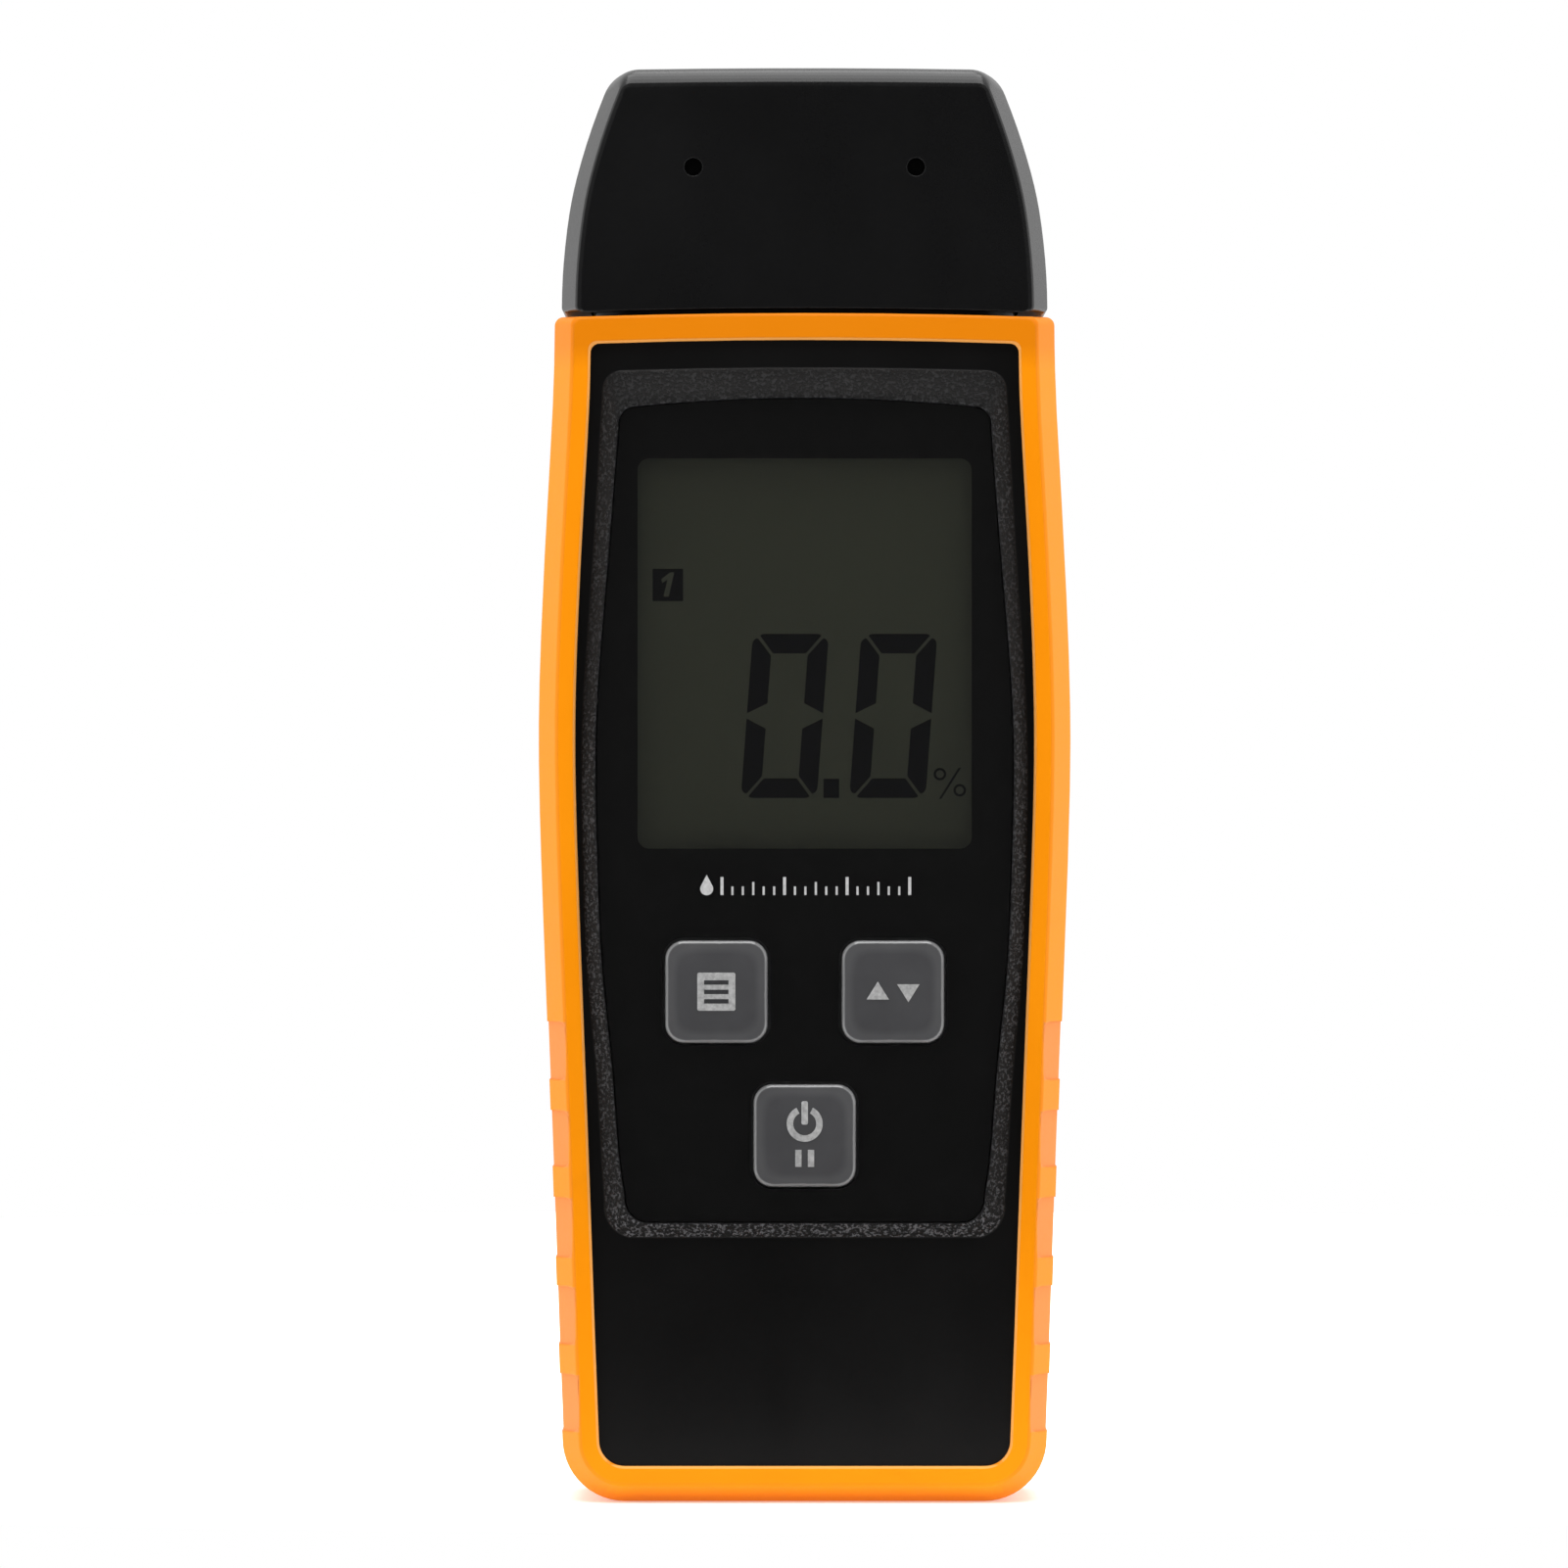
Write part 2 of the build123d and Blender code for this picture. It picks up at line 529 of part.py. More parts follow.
with BuildPart() as pill_set:
    rod_y(KEYS["set"][0], KEYS["set"][1], 2.0, -5.35, -4.95)
pill_set.part.label = "pill_set"

with BuildPart() as pill_power:
    rod_y(KEYS["power"][0], KEYS["power"][1], 2.0, -5.35, -4.95)
pill_power.part.label = "pill_power"

with BuildPart() as keypad_mat:
    rounded(0, 57.0, 32.6, 13.4, 1.5, -5.2, PCB_FRONT)
    rounded(0, 41.0, 16.0, 14.0, 1.5, -5.2, PCB_FRONT)
    block(-5.0, 5.0, -5.2, PCB_FRONT, 46.0, 52.0)
    for x, z in KEYS.values():
        rounded(x, z, 11.6, 11.6, 1.8, -6.8, -5.2)
    for x, z in KEYS.values():
        rounded(x, z, 8.9, 8.9, 1.2, -7.5, -3.5, Mode.SUBTRACT)
keypad_mat.part.label = "keypad_mat"

# ============================================================================
# Sensor head, sockets, pins and their leads
# ============================================================================
with BuildPart() as sensor_head:
    upright(46.8, 17.6, 4.0, 126.8, CAP_BOTTOM + 0.2)
    upright(46.8, 19.2, 4.0, 126.8, 129.3)
    with BuildPart(mode=Mode.PRIVATE) as nose:
        slab(lambda y: cap(y, 3.3), -8.8, 8.8)
        block(-30, 30, -20, 20, HEAD_TOP, 165, Mode.SUBTRACT)
        block(-30, 30, -20, 20, 125, CAP_BOTTOM - 0.1, Mode.SUBTRACT)
        top_rim = nose.part.edges().filter_by_position(Axis.Z, HEAD_TOP - 0.01, HEAD_TOP + 0.01)
        chamfer(top_rim, 0.6)
    add(nose.part)
    # hollow from below, leaving two pillars for the sockets
    with BuildPart(mode=Mode.PRIVATE) as hollow:
        upright(42.4, 13.6, 2.0, 126.0, 142.6)
        for s in (-1, 1):
            rod_z(s * PIN_X, 0, 4.2, 126.0, 143.0, Mode.SUBTRACT)
    add(hollow.part, mode=Mode.SUBTRACT)
    for s in (-1, 1):
        # raised collar, then the socket's bore
        rod_z(s * PIN_X, 0, 4.4, HEAD_TOP - 1.0, HEAD_TOP + 0.5)
        rod_z(s * PIN_X, 0, 2.6, 125.0, 150.0, Mode.SUBTRACT)
sensor_head.part.label = "sensor_head"

with BuildPart() as pin_sockets:
    for s in (-1, 1):
        rod_z(s * PIN_X, 0, 2.6, 130.0, HEAD_TOP + 0.8)
        rod_z(s * PIN_X, 0, 1.5, 124.4, 130.0)
        rod_z(s * PIN_X, 0, 1.25, 137.0, HEAD_TOP + 2.0, Mode.SUBTRACT)
pin_sockets.part.label = "pin_sockets"


def electrode_pin(x):
    """A hardened pin: threaded root, hexagon, shank and ground point."""
    rod_z(x, 0, 1.25, 137.6, HEAD_TOP + 0.8)
    with BuildSketch(Plane.XY.offset(HEAD_TOP + 0.8), mode=Mode.PRIVATE) as hexagon:
        with Locations((x, 0)):
            RegularPolygon(2.0, 6, major_radius=False)
    extrude(hexagon.sketch, amount=1.2)
    rod_z(x, 0, PIN_R, HEAD_TOP + 2.0, PIN_TIP - 2.6)
    with Locations((x, 0, PIN_TIP - 1.3)):
        Cone(PIN_R, 0.08, 2.6)


with BuildPart() as electrode_pin_left:
    electrode_pin(-PIN_X)
electrode_pin_left.part.label = "electrode_pin_left"

with BuildPart() as electrode_pin_right:
    electrode_pin(PIN_X)
electrode_pin_right.part.label = "electrode_pin_right"

with BuildPart() as pin_leads:
    for s in (-1, 1):
        x = s * PIN_X
        block(x - 1.5, x + 1.5, PCB_BACK, PCB_BACK + 0.4, 119.0, 124.4)
        block(x - 1.5, x + 1.5, PCB_BACK, 1.5, 124.0, 124.4)
pin_leads.part.label = "pin_leads"

# ============================================================================
# Protective cap with the check contacts
# ============================================================================
with BuildPart() as protective_cap:
    slab(lambda y: cap(y, 0), SLOPE_START, 9.7)
    taper(cap_edge(SLOPE_START, CAP_FRONT))
    taper(cap_edge(9.7, CAP_BACK))
    # cavity that the sensor head enters, open below
    with BuildPart(mode=Mode.PRIVATE) as cavity:
        slab(lambda y: cap(y, 3.0, 2.4), -9.05, 9.05)
        block(-23.9, 23.9, -9.05, 9.05, 130.0, 135.0)
    add(cavity.part, mode=Mode.SUBTRACT)
    # the two check holes through the front, with pockets for the contacts
    for s in (-1, 1):
        rod_y(s * PIN_X, CHECK_Z, 1.0, -14.0, -8.0, Mode.SUBTRACT)
        block(s * PIN_X - 2.5, s * PIN_X + 2.5, -9.5, -8.9, CHECK_Z - 2.5, CHECK_Z + 2.5,
              Mode.SUBTRACT)
    block(-11.0, 11.0, -10.6, -8.9, CHECK_Z - 1.4, CHECK_Z + 1.4, Mode.SUBTRACT)
protective_cap.part.label = "protective_cap"

with BuildPart() as check_contacts:
    for s in (-1, 1):
        block(s * PIN_X - 2.5, s * PIN_X + 2.5, -9.5, -9.1, CHECK_Z - 2.5, CHECK_Z + 2.5)
check_contacts.part.label = "check_contacts"

with BuildPart() as check_resistor:
    with Locations((0, -9.85, CHECK_Z)):
        Cylinder(0.7, 6.0, rotation=(0, 90, 0))
        Cylinder(0.25, 19.8, rotation=(0, 90, 0))
check_resistor.part.label = "check_resistor"


# ============================================================================
# Batteries and their contacts
# ============================================================================
def cell(x, low, up):
    """An AAA cell: can, crimped shoulder and positive button."""
    foot, head = (low, low + CELL_L) if up else (low + CELL_L, low)
    d = 1 if up else -1
    rod_z(x, CELL_Y, CELL_R, min(foot, head - d * 1.4), max(foot, head - d * 1.4))
    rod_z(x, CELL_Y, 4.4, min(head - d * 1.4, head - d * 0.9), max(head - d * 1.4, head - d * 0.9))
    rod_z(x, CELL_Y, 1.9, min(head - d * 0.9, head), max(head - d * 0.9, head))


with BuildPart() as battery_left:
    cell(-CELL_PITCH, TRAY_HIGH - 0.4 - CELL_L, True)
battery_left.part.label = "battery_left"

with BuildPart() as battery_middle:
    cell(0.0, TRAY_LOW + 0.4, False)
battery_middle.part.label = "battery_middle"

with BuildPart() as battery_right:
    cell(CELL_PITCH, TRAY_HIGH - 0.4 - CELL_L, True)
battery_right.part.label = "battery_right"


def coil(x, z_wide, z_narrow):
    """A conical battery spring from its wide end to its narrow end."""
    turns, r_wide, r_narrow, wire = 3.0, 3.7, 2.1, 0.27
    step = 1 if z_narrow > z_wide else -1
    pts = []
    for i in range(0, 37):
        t = i / 36
        a = 2 * math.pi * turns * t
        r = r_wide + (r_narrow - r_wide) * t
        z = z_wide + step * wire + (z_narrow - z_wide - 2 * step * wire) * t
        pts.append((x + r * math.cos(a), CELL_Y + r * math.sin(a), z))
    with BuildLine(mode=Mode.PRIVATE) as path:
        Spline(*pts)
    wire_path = path.line
    with BuildSketch(Plane(origin=wire_path @ 0, z_dir=wire_path % 0), mode=Mode.PRIVATE) as ring:
        Circle(wire)
    sweep(ring.sketch, path=wire_path)


with BuildPart() as battery_springs:
    coil(-CELL_PITCH, TRAY_LOW + 0.4, TRAY_HIGH - 0.4 - CELL_L)
    coil(CELL_PITCH, TRAY_LOW + 0.4, TRAY_HIGH - 0.4 - CELL_L)
    coil(0.0, TRAY_HIGH - 0.4, TRAY_LOW + 0.4 + CELL_L)
battery_springs.part.label = "battery_springs"

with BuildPart() as battery_links:
    block(-15.0, 4.2, 2.4, 9.9, TRAY_HIGH - 0.4, TRAY_HIGH)
    block(-4.2, 15.0, 2.4, 9.9, TRAY_LOW, TRAY_LOW + 0.4)
battery_links.part.label = "battery_links"

with BuildPart() as battery_terminals:
    # negative plate at the foot, its strip running up behind the tray floor
    block(-15.0, -7.6, 1.2, 9.9, TRAY_LOW, TRAY_LOW + 0.4)
    block(-13.0, -10.0, -0.2, 1.2, TRAY_LOW, TRAY_LOW + 0.4)
    block(-13.0, -10.0, -0.2, 0.2, TRAY_LOW, 30.0)
    block(-13.0, -10.0, PCB_BACK, 0.2, 29.6, 30.0)
    # positive plate at the top
    block(7.6, 15.0, 1.2, 9.9, TRAY_HIGH - 0.4, TRAY_HIGH)
    block(10.0, 13.0, PCB_BACK, 1.2, TRAY_HIGH - 0.4, TRAY_HIGH)
battery_terminals.part.label = "battery_terminals"

# ============================================================================
# Battery door: hinge toes at the top, finger latch at the foot
# ============================================================================
with BuildPart() as battery_door:
    rounded(0, (DOOR_LOW + DOOR_HIGH) / 2, 2 * DOOR_X, DOOR_HIGH - DOOR_LOW, 0.8,
            REAR_INNER, REAR_FACE)
    # thumb ridges pressed into the outer face above the latch
    for i in range(5):
        block(-8.0 + i * 0.6, 8.0 - i * 0.6, 13.5, 15.0, 13.0 + i * 1.8, 13.8 + i * 1.8,
              Mode.SUBTRACT)
    # latch tongue and the stiffening rib behind it
    block(-5.2, 5.2, REAR_INNER, REAR_FACE, DOOR_LOW - 1.5, DOOR_LOW + 1.0)
    block(-14.0, 14.0, 11.8, REAR_INNER, 8.0, 9.0)
    # hinge toes
    for s in (-1, 1):
        block(min(s * 3.2, s * 6.2), max(s * 3.2, s * 6.2), 11.0, 12.2, 55.9, DOOR_HIGH)
        block(min(s * 3.2, s * 6.2), max(s * 3.2, s * 6.2), 11.0, 11.95, DOOR_HIGH, DOOR_HIGH + 1.6)
    # two soft ribs that hold the cells down
    block(-0.5, 0.5, 11.75, REAR_INNER, 16.0, 50.0)
battery_door.part.label = "battery_door"

with BuildPart() as rating_label:
    rounded(0, 94.0, 33.6, 39.6, 1.3, 13.8, 13.95)
rating_label.part.label = "rating_label"

# ---- one STEP file per separate piece -----------------------------------------
os.makedirs("parts", exist_ok=True)
export_step(front_bumper.part, "parts/front_bumper.step")
export_step(rear_bumper.part, "parts/rear_bumper.step")
export_step(front_case.part, "parts/front_case.step")
export_step(rear_case.part, "parts/rear_case.step")
export_step(display_lens.part, "parts/display_lens.step")
export_step(lens_mask.part, "parts/lens_mask.step")
export_step(lcd_frame.part, "parts/lcd_frame.step")
export_step(lcd_polarizers.part, "parts/lcd_polarizers.step")
export_step(lcd_front_glass.part, "parts/lcd_front_glass.step")
export_step(lcd_rear_glass.part, "parts/lcd_rear_glass.step")
export_step(light_guide.part, "parts/light_guide.step")
export_step(backlight_led.part, "parts/backlight_led.step")
export_step(zebra_strip.part, "parts/zebra_strip.step")
export_step(main_pcb.part, "parts/main_pcb.step")
export_step(processor_chip.part, "parts/processor_chip.step")
export_step(amplifier_chip.part, "parts/amplifier_chip.step")
export_step(chip_capacitors.part, "parts/chip_capacitors.step")
export_step(reservoir_capacitor.part, "parts/reservoir_capacitor.step")
export_step(timing_crystal.part, "parts/timing_crystal.step")
export_step(trimmer.part, "parts/trimmer.step")
export_step(pcb_screws.part, "parts/pcb_screws.step")
export_step(case_screws.part, "parts/case_screws.step")
export_step(key_mode.part, "parts/key_mode.step")
export_step(key_set.part, "parts/key_set.step")
export_step(key_power.part, "parts/key_power.step")
export_step(plunger_mode.part, "parts/plunger_mode.step")
export_step(plunger_set.part, "parts/plunger_set.step")
export_step(plunger_power.part, "parts/plunger_power.step")
export_step(pill_mode.part, "parts/pill_mode.step")
export_step(pill_set.part, "parts/pill_set.step")
export_step(pill_power.part, "parts/pill_power.step")
export_step(keypad_mat.part, "parts/keypad_mat.step")
export_step(sensor_head.part, "parts/sensor_head.step")
export_step(pin_sockets.part, "parts/pin_sockets.step")
export_step(electrode_pin_left.part, "parts/electrode_pin_left.step")
export_step(electrode_pin_right.part, "parts/electrode_pin_right.step")
export_step(pin_leads.part, "parts/pin_leads.step")
export_step(protective_cap.part, "parts/protective_cap.step")
export_step(check_contacts.part, "parts/check_contacts.step")
export_step(check_resistor.part, "parts/check_resistor.step")
export_step(battery_left.part, "parts/battery_left.step")
export_step(battery_middle.part, "parts/battery_middle.step")
export_step(battery_right.part, "parts/battery_right.step")
export_step(battery_springs.part, "parts/battery_springs.step")
export_step(battery_links.part, "parts/battery_links.step")
export_step(battery_terminals.part, "parts/battery_terminals.step")
export_step(battery_door.part, "parts/battery_door.step")
export_step(rating_label.part, "parts/rating_label.step")
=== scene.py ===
import math

import bpy
import bmesh
from mathutils import Matrix, Vector


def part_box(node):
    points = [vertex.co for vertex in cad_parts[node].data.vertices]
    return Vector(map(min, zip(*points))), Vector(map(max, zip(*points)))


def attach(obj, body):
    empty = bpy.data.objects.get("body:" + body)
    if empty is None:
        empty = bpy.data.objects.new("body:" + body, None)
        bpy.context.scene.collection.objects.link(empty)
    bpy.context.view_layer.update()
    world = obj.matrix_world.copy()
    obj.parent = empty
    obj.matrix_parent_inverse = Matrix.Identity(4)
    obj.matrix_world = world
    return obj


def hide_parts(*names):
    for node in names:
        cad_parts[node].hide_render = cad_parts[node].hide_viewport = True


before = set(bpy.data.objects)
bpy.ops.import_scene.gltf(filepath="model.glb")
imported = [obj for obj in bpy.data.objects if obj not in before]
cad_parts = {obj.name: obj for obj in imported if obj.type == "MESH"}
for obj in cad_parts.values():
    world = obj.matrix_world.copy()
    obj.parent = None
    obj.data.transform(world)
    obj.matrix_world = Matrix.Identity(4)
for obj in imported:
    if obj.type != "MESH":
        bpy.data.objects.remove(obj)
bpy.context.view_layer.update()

scene = bpy.context.scene
scene.view_settings.view_transform = "Standard"
scene.view_settings.look = "None"

MM = 0.001


# ============================================================================
# Material kit
# ============================================================================
class Mat:
    """A node material with a few helpers that keep each recipe short."""

    def __init__(self, name, base=(0.5, 0.5, 0.5), rough=0.5, metallic=0.0, spec=0.5, ior=1.5):
        self.m = bpy.data.materials.new(name)
        self.m.use_nodes = True
        self.t = self.m.node_tree
        self.n = self.t.nodes
        self.l = self.t.links
        self.b = self.n["Principled BSDF"]
        self.b.inputs["Base Color"].default_value = (*base, 1)
        self.b.inputs["Roughness"].default_value = rough
        self.b.inputs["Metallic"].default_value = metallic
        self.b.inputs["IOR"].default_value = ior
        self.b.inputs["Specular IOR Level"].default_value = spec
        self.co = self.n.new("ShaderNodeTexCoord").outputs["Object"]
        self.bumped = None

    def noise(self, scale, detail=2.0, rough=0.5, stretch=None, distortion=0.0):
        n = self.n.new("ShaderNodeTexNoise")
        n.inputs["Scale"].default_value = scale
        n.inputs["Detail"].default_value = detail
        n.inputs["Roughness"].default_value = rough
        n.inputs["Distortion"].default_value = distortion
        src = self.co
        if stretch:
            mp = self.n.new("ShaderNodeMapping")
            mp.inputs["Scale"].default_value = stretch
            self.l.new(src, mp.inputs["Vector"])
            src = mp.outputs["Vector"]
        self.l.new(src, n.inputs["Vector"])
        return n.outputs["Fac"]

    def voronoi(self, scale, feature="F1", out="Distance"):
        n = self.n.new("ShaderNodeTexVoronoi")
        n.feature = feature
        n.inputs["Scale"].default_value = scale
        self.l.new(self.co, n.inputs["Vector"])
        return n.outputs[out]

    def ramp(self, src, stops):
        r = self.n.new("ShaderNodeValToRGB")
        els = r.color_ramp.elements
        while len(els) < len(stops):
            els.new(0.5)
        for e, (p, c) in zip(els, stops):
            e.position = p
            e.color = (*c, 1) if len(c) == 3 else c
        self.l.new(src, r.inputs["Fac"])
        return r.outputs["Color"]

    def remap(self, src, a, b, lo=0.0, hi=1.0):
        r = self.n.new("ShaderNodeMapRange")
        r.inputs["From Min"].default_value = lo
        r.inputs["From Max"].default_value = hi
        r.inputs["To Min"].default_value = a
        r.inputs["To Max"].default_value = b
        self.l.new(src, r.inputs["Value"])
        return r.outputs["Result"]

    def math(self, op, a, b):
        n = self.n.new("ShaderNodeMath")
        n.operation = op
        for i, v in enumerate((a, b)):
            if hasattr(v, "is_output"):
                self.l.new(v, n.inputs[i])
            else:
                n.inputs[i].default_value = v
        return n.outputs[0]

    def mix(self, fac, a, b):
        n = self.n.new("ShaderNodeMix")
        n.data_type = "RGBA"
        for sock, v in ((n.inputs[0], fac), (n.inputs[6], a), (n.inputs[7], b)):
            if hasattr(v, "is_output"):
                self.l.new(v, sock)
            else:
                sock.default_value = v if isinstance(v, float) else (*v, 1)
        return n.outputs[2]

    def edge(self, radius, lo=0.02, hi=0.35):
        """1 along sharp outer edges, 0 on the flats, broken up by noise."""
        bev = self.n.new("ShaderNodeBevel")
        bev.samples = 6
        bev.inputs["Radius"].default_value = radius
        geo = self.n.new("ShaderNodeNewGeometry")
        dot = self.n.new("ShaderNodeVectorMath")
        dot.operation = "DOT_PRODUCT"
        self.l.new(bev.outputs["Normal"], dot.inputs[0])
        self.l.new(geo.outputs["Normal"], dot.inputs[1])
        inv = self.math("SUBTRACT", 1.0, dot.outputs["Value"])
        return self.remap(inv, 0.0, 1.0, lo, hi)

    def bump(self, src, strength, distance, soft=None):
        b = self.n.new("ShaderNodeBump")
        b.inputs["Strength"].default_value = strength
        b.inputs["Distance"].default_value = distance
        self.l.new(src, b.inputs["Height"])
        if self.bumped is not None:
            self.l.new(self.bumped, b.inputs["Normal"])
        elif soft:
            bev = self.n.new("ShaderNodeBevel")
            bev.samples = 6
            bev.inputs["Radius"].default_value = soft
            self.l.new(bev.outputs["Normal"], b.inputs["Normal"])
        self.bumped = b.outputs["Normal"]
        self.l.new(self.bumped, self.b.inputs["Normal"])

    def set(self, socket, value):
        s = self.b.inputs[socket]
        if hasattr(value, "is_output"):
            self.l.new(value, s)
        else:
            s.default_value = value
        return self


def moulded(name, base, rough, grain=2600, depth=0.02, soft=0.00025, coarse=0.08, wear=(0.05, 0.05, 0.052), spec=0.5):
    """Moulded plastic: spark-eroded grain, faint flow patches, lighter handled edges."""
    m = Mat(name, base, rough, spec=spec)
    fine = m.noise(grain, 3.0, 0.6)
    patch = m.noise(55, 3.0, 0.55)
    streak = m.noise(16, 2.0, 0.5, stretch=(6, 6, 1))
    darker = tuple(c * 0.82 for c in base)
    lighter = tuple(min(1, c * 1.16 + 0.0006) for c in base)
    col = m.ramp(patch, [(0.3, darker), (0.7, lighter)])
    e = m.edge(0.0003)
    e = m.math("MULTIPLY", e, m.remap(m.noise(420, 3.0), 0.0, 1.0, 0.42, 0.62))
    m.set("Base Color", m.mix(e, col, wear))
    r = m.math("ADD", m.remap(fine, -0.05, 0.05, 0.3, 0.7), m.remap(streak, rough - 0.04, rough + 0.04, 0.3, 0.7))
    m.set("Roughness", r)
    m.bump(fine, coarse, depth * 0.001, soft)
    return m


mats = {}

# black body: fine spark-erosion texture, and a coarser one on the bezel's slopes; there the specks are lightened on
# side and down-facing slopes as painted light
bk = moulded("black_body", (0.0035, 0.0034, 0.0034), 0.36, grain=3200, depth=0.03, coarse=0.30,
             wear=(0.020, 0.020, 0.022), spec=0.16)
bk_sep = bk.n.new("ShaderNodeSeparateXYZ")
bk.l.new(bk.co, bk_sep.inputs[0])
raised = bk.remap(bk_sep.outputs["Y"], 1.0, 0.0, -0.01175, -0.01162)
stipple = bk.noise(2700, 2.0, 0.7)
crisp = bk.remap(stipple, 0.0, 1.0, 0.42, 0.58)
bk.bump(bk.math("MULTIPLY", crisp, raised), 0.9, 0.00007)
bk_geo = bk.n.new("ShaderNodeNewGeometry")
bk_nrm = bk.n.new("ShaderNodeSeparateXYZ")
bk.l.new(bk_geo.outputs["True Normal"], bk_nrm.inputs[0])
# painted light: on the bezel, specks on side and down-facing slopes are mixed to a lighter grey, so those slopes read
# brighter
down_facing_painted_light = bk.remap(bk_nrm.outputs["Z"], 0.12, 1.0, 0.1, -0.35)
speck_grain_painted_light = bk.math("MULTIPLY", bk.math("MULTIPLY", bk.remap(stipple, 0.0, 1.0, 0.50, 0.62), raised), down_facing_painted_light)
bk.set("Base Color", bk.mix(speck_grain_painted_light, bk.b.inputs["Base Color"].links[0].from_socket, (0.110, 0.110, 0.116)))
bk.set("Roughness", bk.math("ADD", bk.b.inputs["Roughness"].links[0].from_socket, bk.math("MULTIPLY", raised, 0.24)))
mats["black"] = bk.m
cp = moulded("black_cap", (0.0038, 0.0038, 0.0040), 0.33, grain=3600, depth=0.02, coarse=0.20,
             wear=(0.018, 0.018, 0.020), spec=0.14)
cp.set("Coat Weight", 0.40)
cp.set("Coat Roughness", 0.16)
mats["cap"] = cp.m
mats["head"] = moulded("black_head", (0.012, 0.012, 0.0125), 0.45, grain=2600, depth=0.03, coarse=0.4).m

# orange soft overmould
om = Mat("orange_overmould", (0.90, 0.25, 0.001), 0.46, spec=0.12)
fine = om.noise(2600, 3.0, 0.6)
patch = om.noise(38, 3.0, 0.5)
col = om.ramp(patch, [(0.25, (0.92, 0.272, 0.0004)), (0.75, (0.98, 0.304, 0.0008))])
rub = om.math("MULTIPLY", om.edge(0.0004), om.remap(om.noise(300, 3.0), 0.0, 0.8, 0.4, 0.65))
col = om.mix(rub, col, (0.98, 0.36, 0.02))
grime = om.remap(om.noise(120, 4.0, 0.6), 0.0, 0.10, 0.60, 0.80)
col = om.mix(grime, col, (0.55, 0.13, 0.004))
# finger pads: a paler tone painted on as painted light, with their own matt grain
pads_grain_and_painted_light = None
om_sep = om.n.new("ShaderNodeSeparateXYZ")
om.l.new(om.co, om_sep.inputs[0])
om_x = om.math("ABSOLUTE", om_sep.outputs["X"], 0.0)
for z_low, z_high, x_in in ((7.9, 14.3, 25.10), (17.6, 24.1, 25.53), (27.3, 34.0, 25.88), (37.4, 43.7, 26.27), (47.1, 53.6, 26.60)):
    mid, half = (z_low + z_high) / 2 * MM, (z_high - z_low) / 2 * MM
    dz = om.math("ABSOLUTE", om.math("SUBTRACT", om_sep.outputs["Z"], mid), 0.0)
    pad = om.math("MULTIPLY", om.remap(dz, 1.0, 0.0, half - 0.00008, half + 0.00008),
                  om.remap(om_x, 0.0, 1.0, x_in * MM - 0.00008, x_in * MM + 0.00008))
    pads_grain_and_painted_light = pad if pads_grain_and_painted_light is None else om.math("MAXIMUM", pads_grain_and_painted_light, pad)
om_ay = om.math("ABSOLUTE", om_sep.outputs["Y"], 0.0)
pads_grain_and_painted_light = om.math("MULTIPLY", pads_grain_and_painted_light, om.remap(om_ay, 0.0, 1.0, 0.00055, 0.00065))
# painted light: the pads are mixed to a paler orange
col = om.mix(om.math("MULTIPLY", pads_grain_and_painted_light, 0.85), col, (0.72, 0.235, 0.060))
# painted shade: the outer slopes are made a little deeper in tone, more so the further they face sideways
om_geo = om.n.new("ShaderNodeNewGeometry")
om_nrm = om.n.new("ShaderNodeSeparateXYZ")
om.l.new(om_geo.outputs["True Normal"], om_nrm.inputs[0])
painted_slope_shade = om.remap(om.math("ABSOLUTE", om_nrm.outputs["X"], 0.0), 0.0, 1.0, 0.15, 0.45)
painted_slope_shade = om.math("MULTIPLY", painted_slope_shade, om.math("SUBTRACT", 1.0, pads_grain_and_painted_light))
col = om.mix(om.math("MULTIPLY", painted_slope_shade, 0.5), col, (0.76, 0.205, 0.002))
# painted shade: the band under the cap is made a deeper orange
painted_shade_under_cap = om.remap(om_sep.outputs["Z"], 0.0, 1.0, 0.1262, 0.1290)
col = om.mix(om.math("MULTIPLY", painted_shade_under_cap, 0.60), col, (0.66, 0.170, 0.0004))
# painted highlight: a thin pale line where the lip meets the black face
painted_highlight_inner_sides = om.math("MULTIPLY", om_nrm.outputs["X"], om_sep.outputs["X"])
painted_highlight_inner_sides = om.remap(painted_highlight_inner_sides, 1.0, 0.0, -0.012, -0.009)
painted_highlight_top_lip = om.math("MULTIPLY", om.remap(om_nrm.outputs["Z"], 1.0, 0.0, -0.45, -0.35), om.remap(om_sep.outputs["Z"], 0.0, 1.0, 0.1285, 0.1287))
painted_highlight_low_lip = om.math("MULTIPLY", om.remap(om_nrm.outputs["Z"], 0.0, 1.0, 0.35, 0.45), om.remap(om_sep.outputs["Z"], 1.0, 0.0, 0.0042, 0.0044))
painted_lip_highlight = om.math("MAXIMUM", painted_highlight_inner_sides, om.math("MAXIMUM", painted_highlight_top_lip, painted_highlight_low_lip))
col = om.mix(om.math("MULTIPLY", painted_lip_highlight, 0.55), col, (0.98, 0.52, 0.16))
om.set("Base Color", col)
om_rough = om.math("ADD", om.remap(fine, -0.05, 0.05, 0.3, 0.7), om.remap(patch, 0.42, 0.50, 0.3, 0.7))
om.set("Roughness", om.math("ADD", om_rough, om.math("MULTIPLY", pads_grain_and_painted_light, 0.10)))
om.bump(fine, 0.25, 0.00002, 0.00035)
om.bump(om.math("MULTIPLY", om.noise(1500, 2.0), pads_grain_and_painted_light), 0.5, 0.00005)
mats["orange"] = om.m

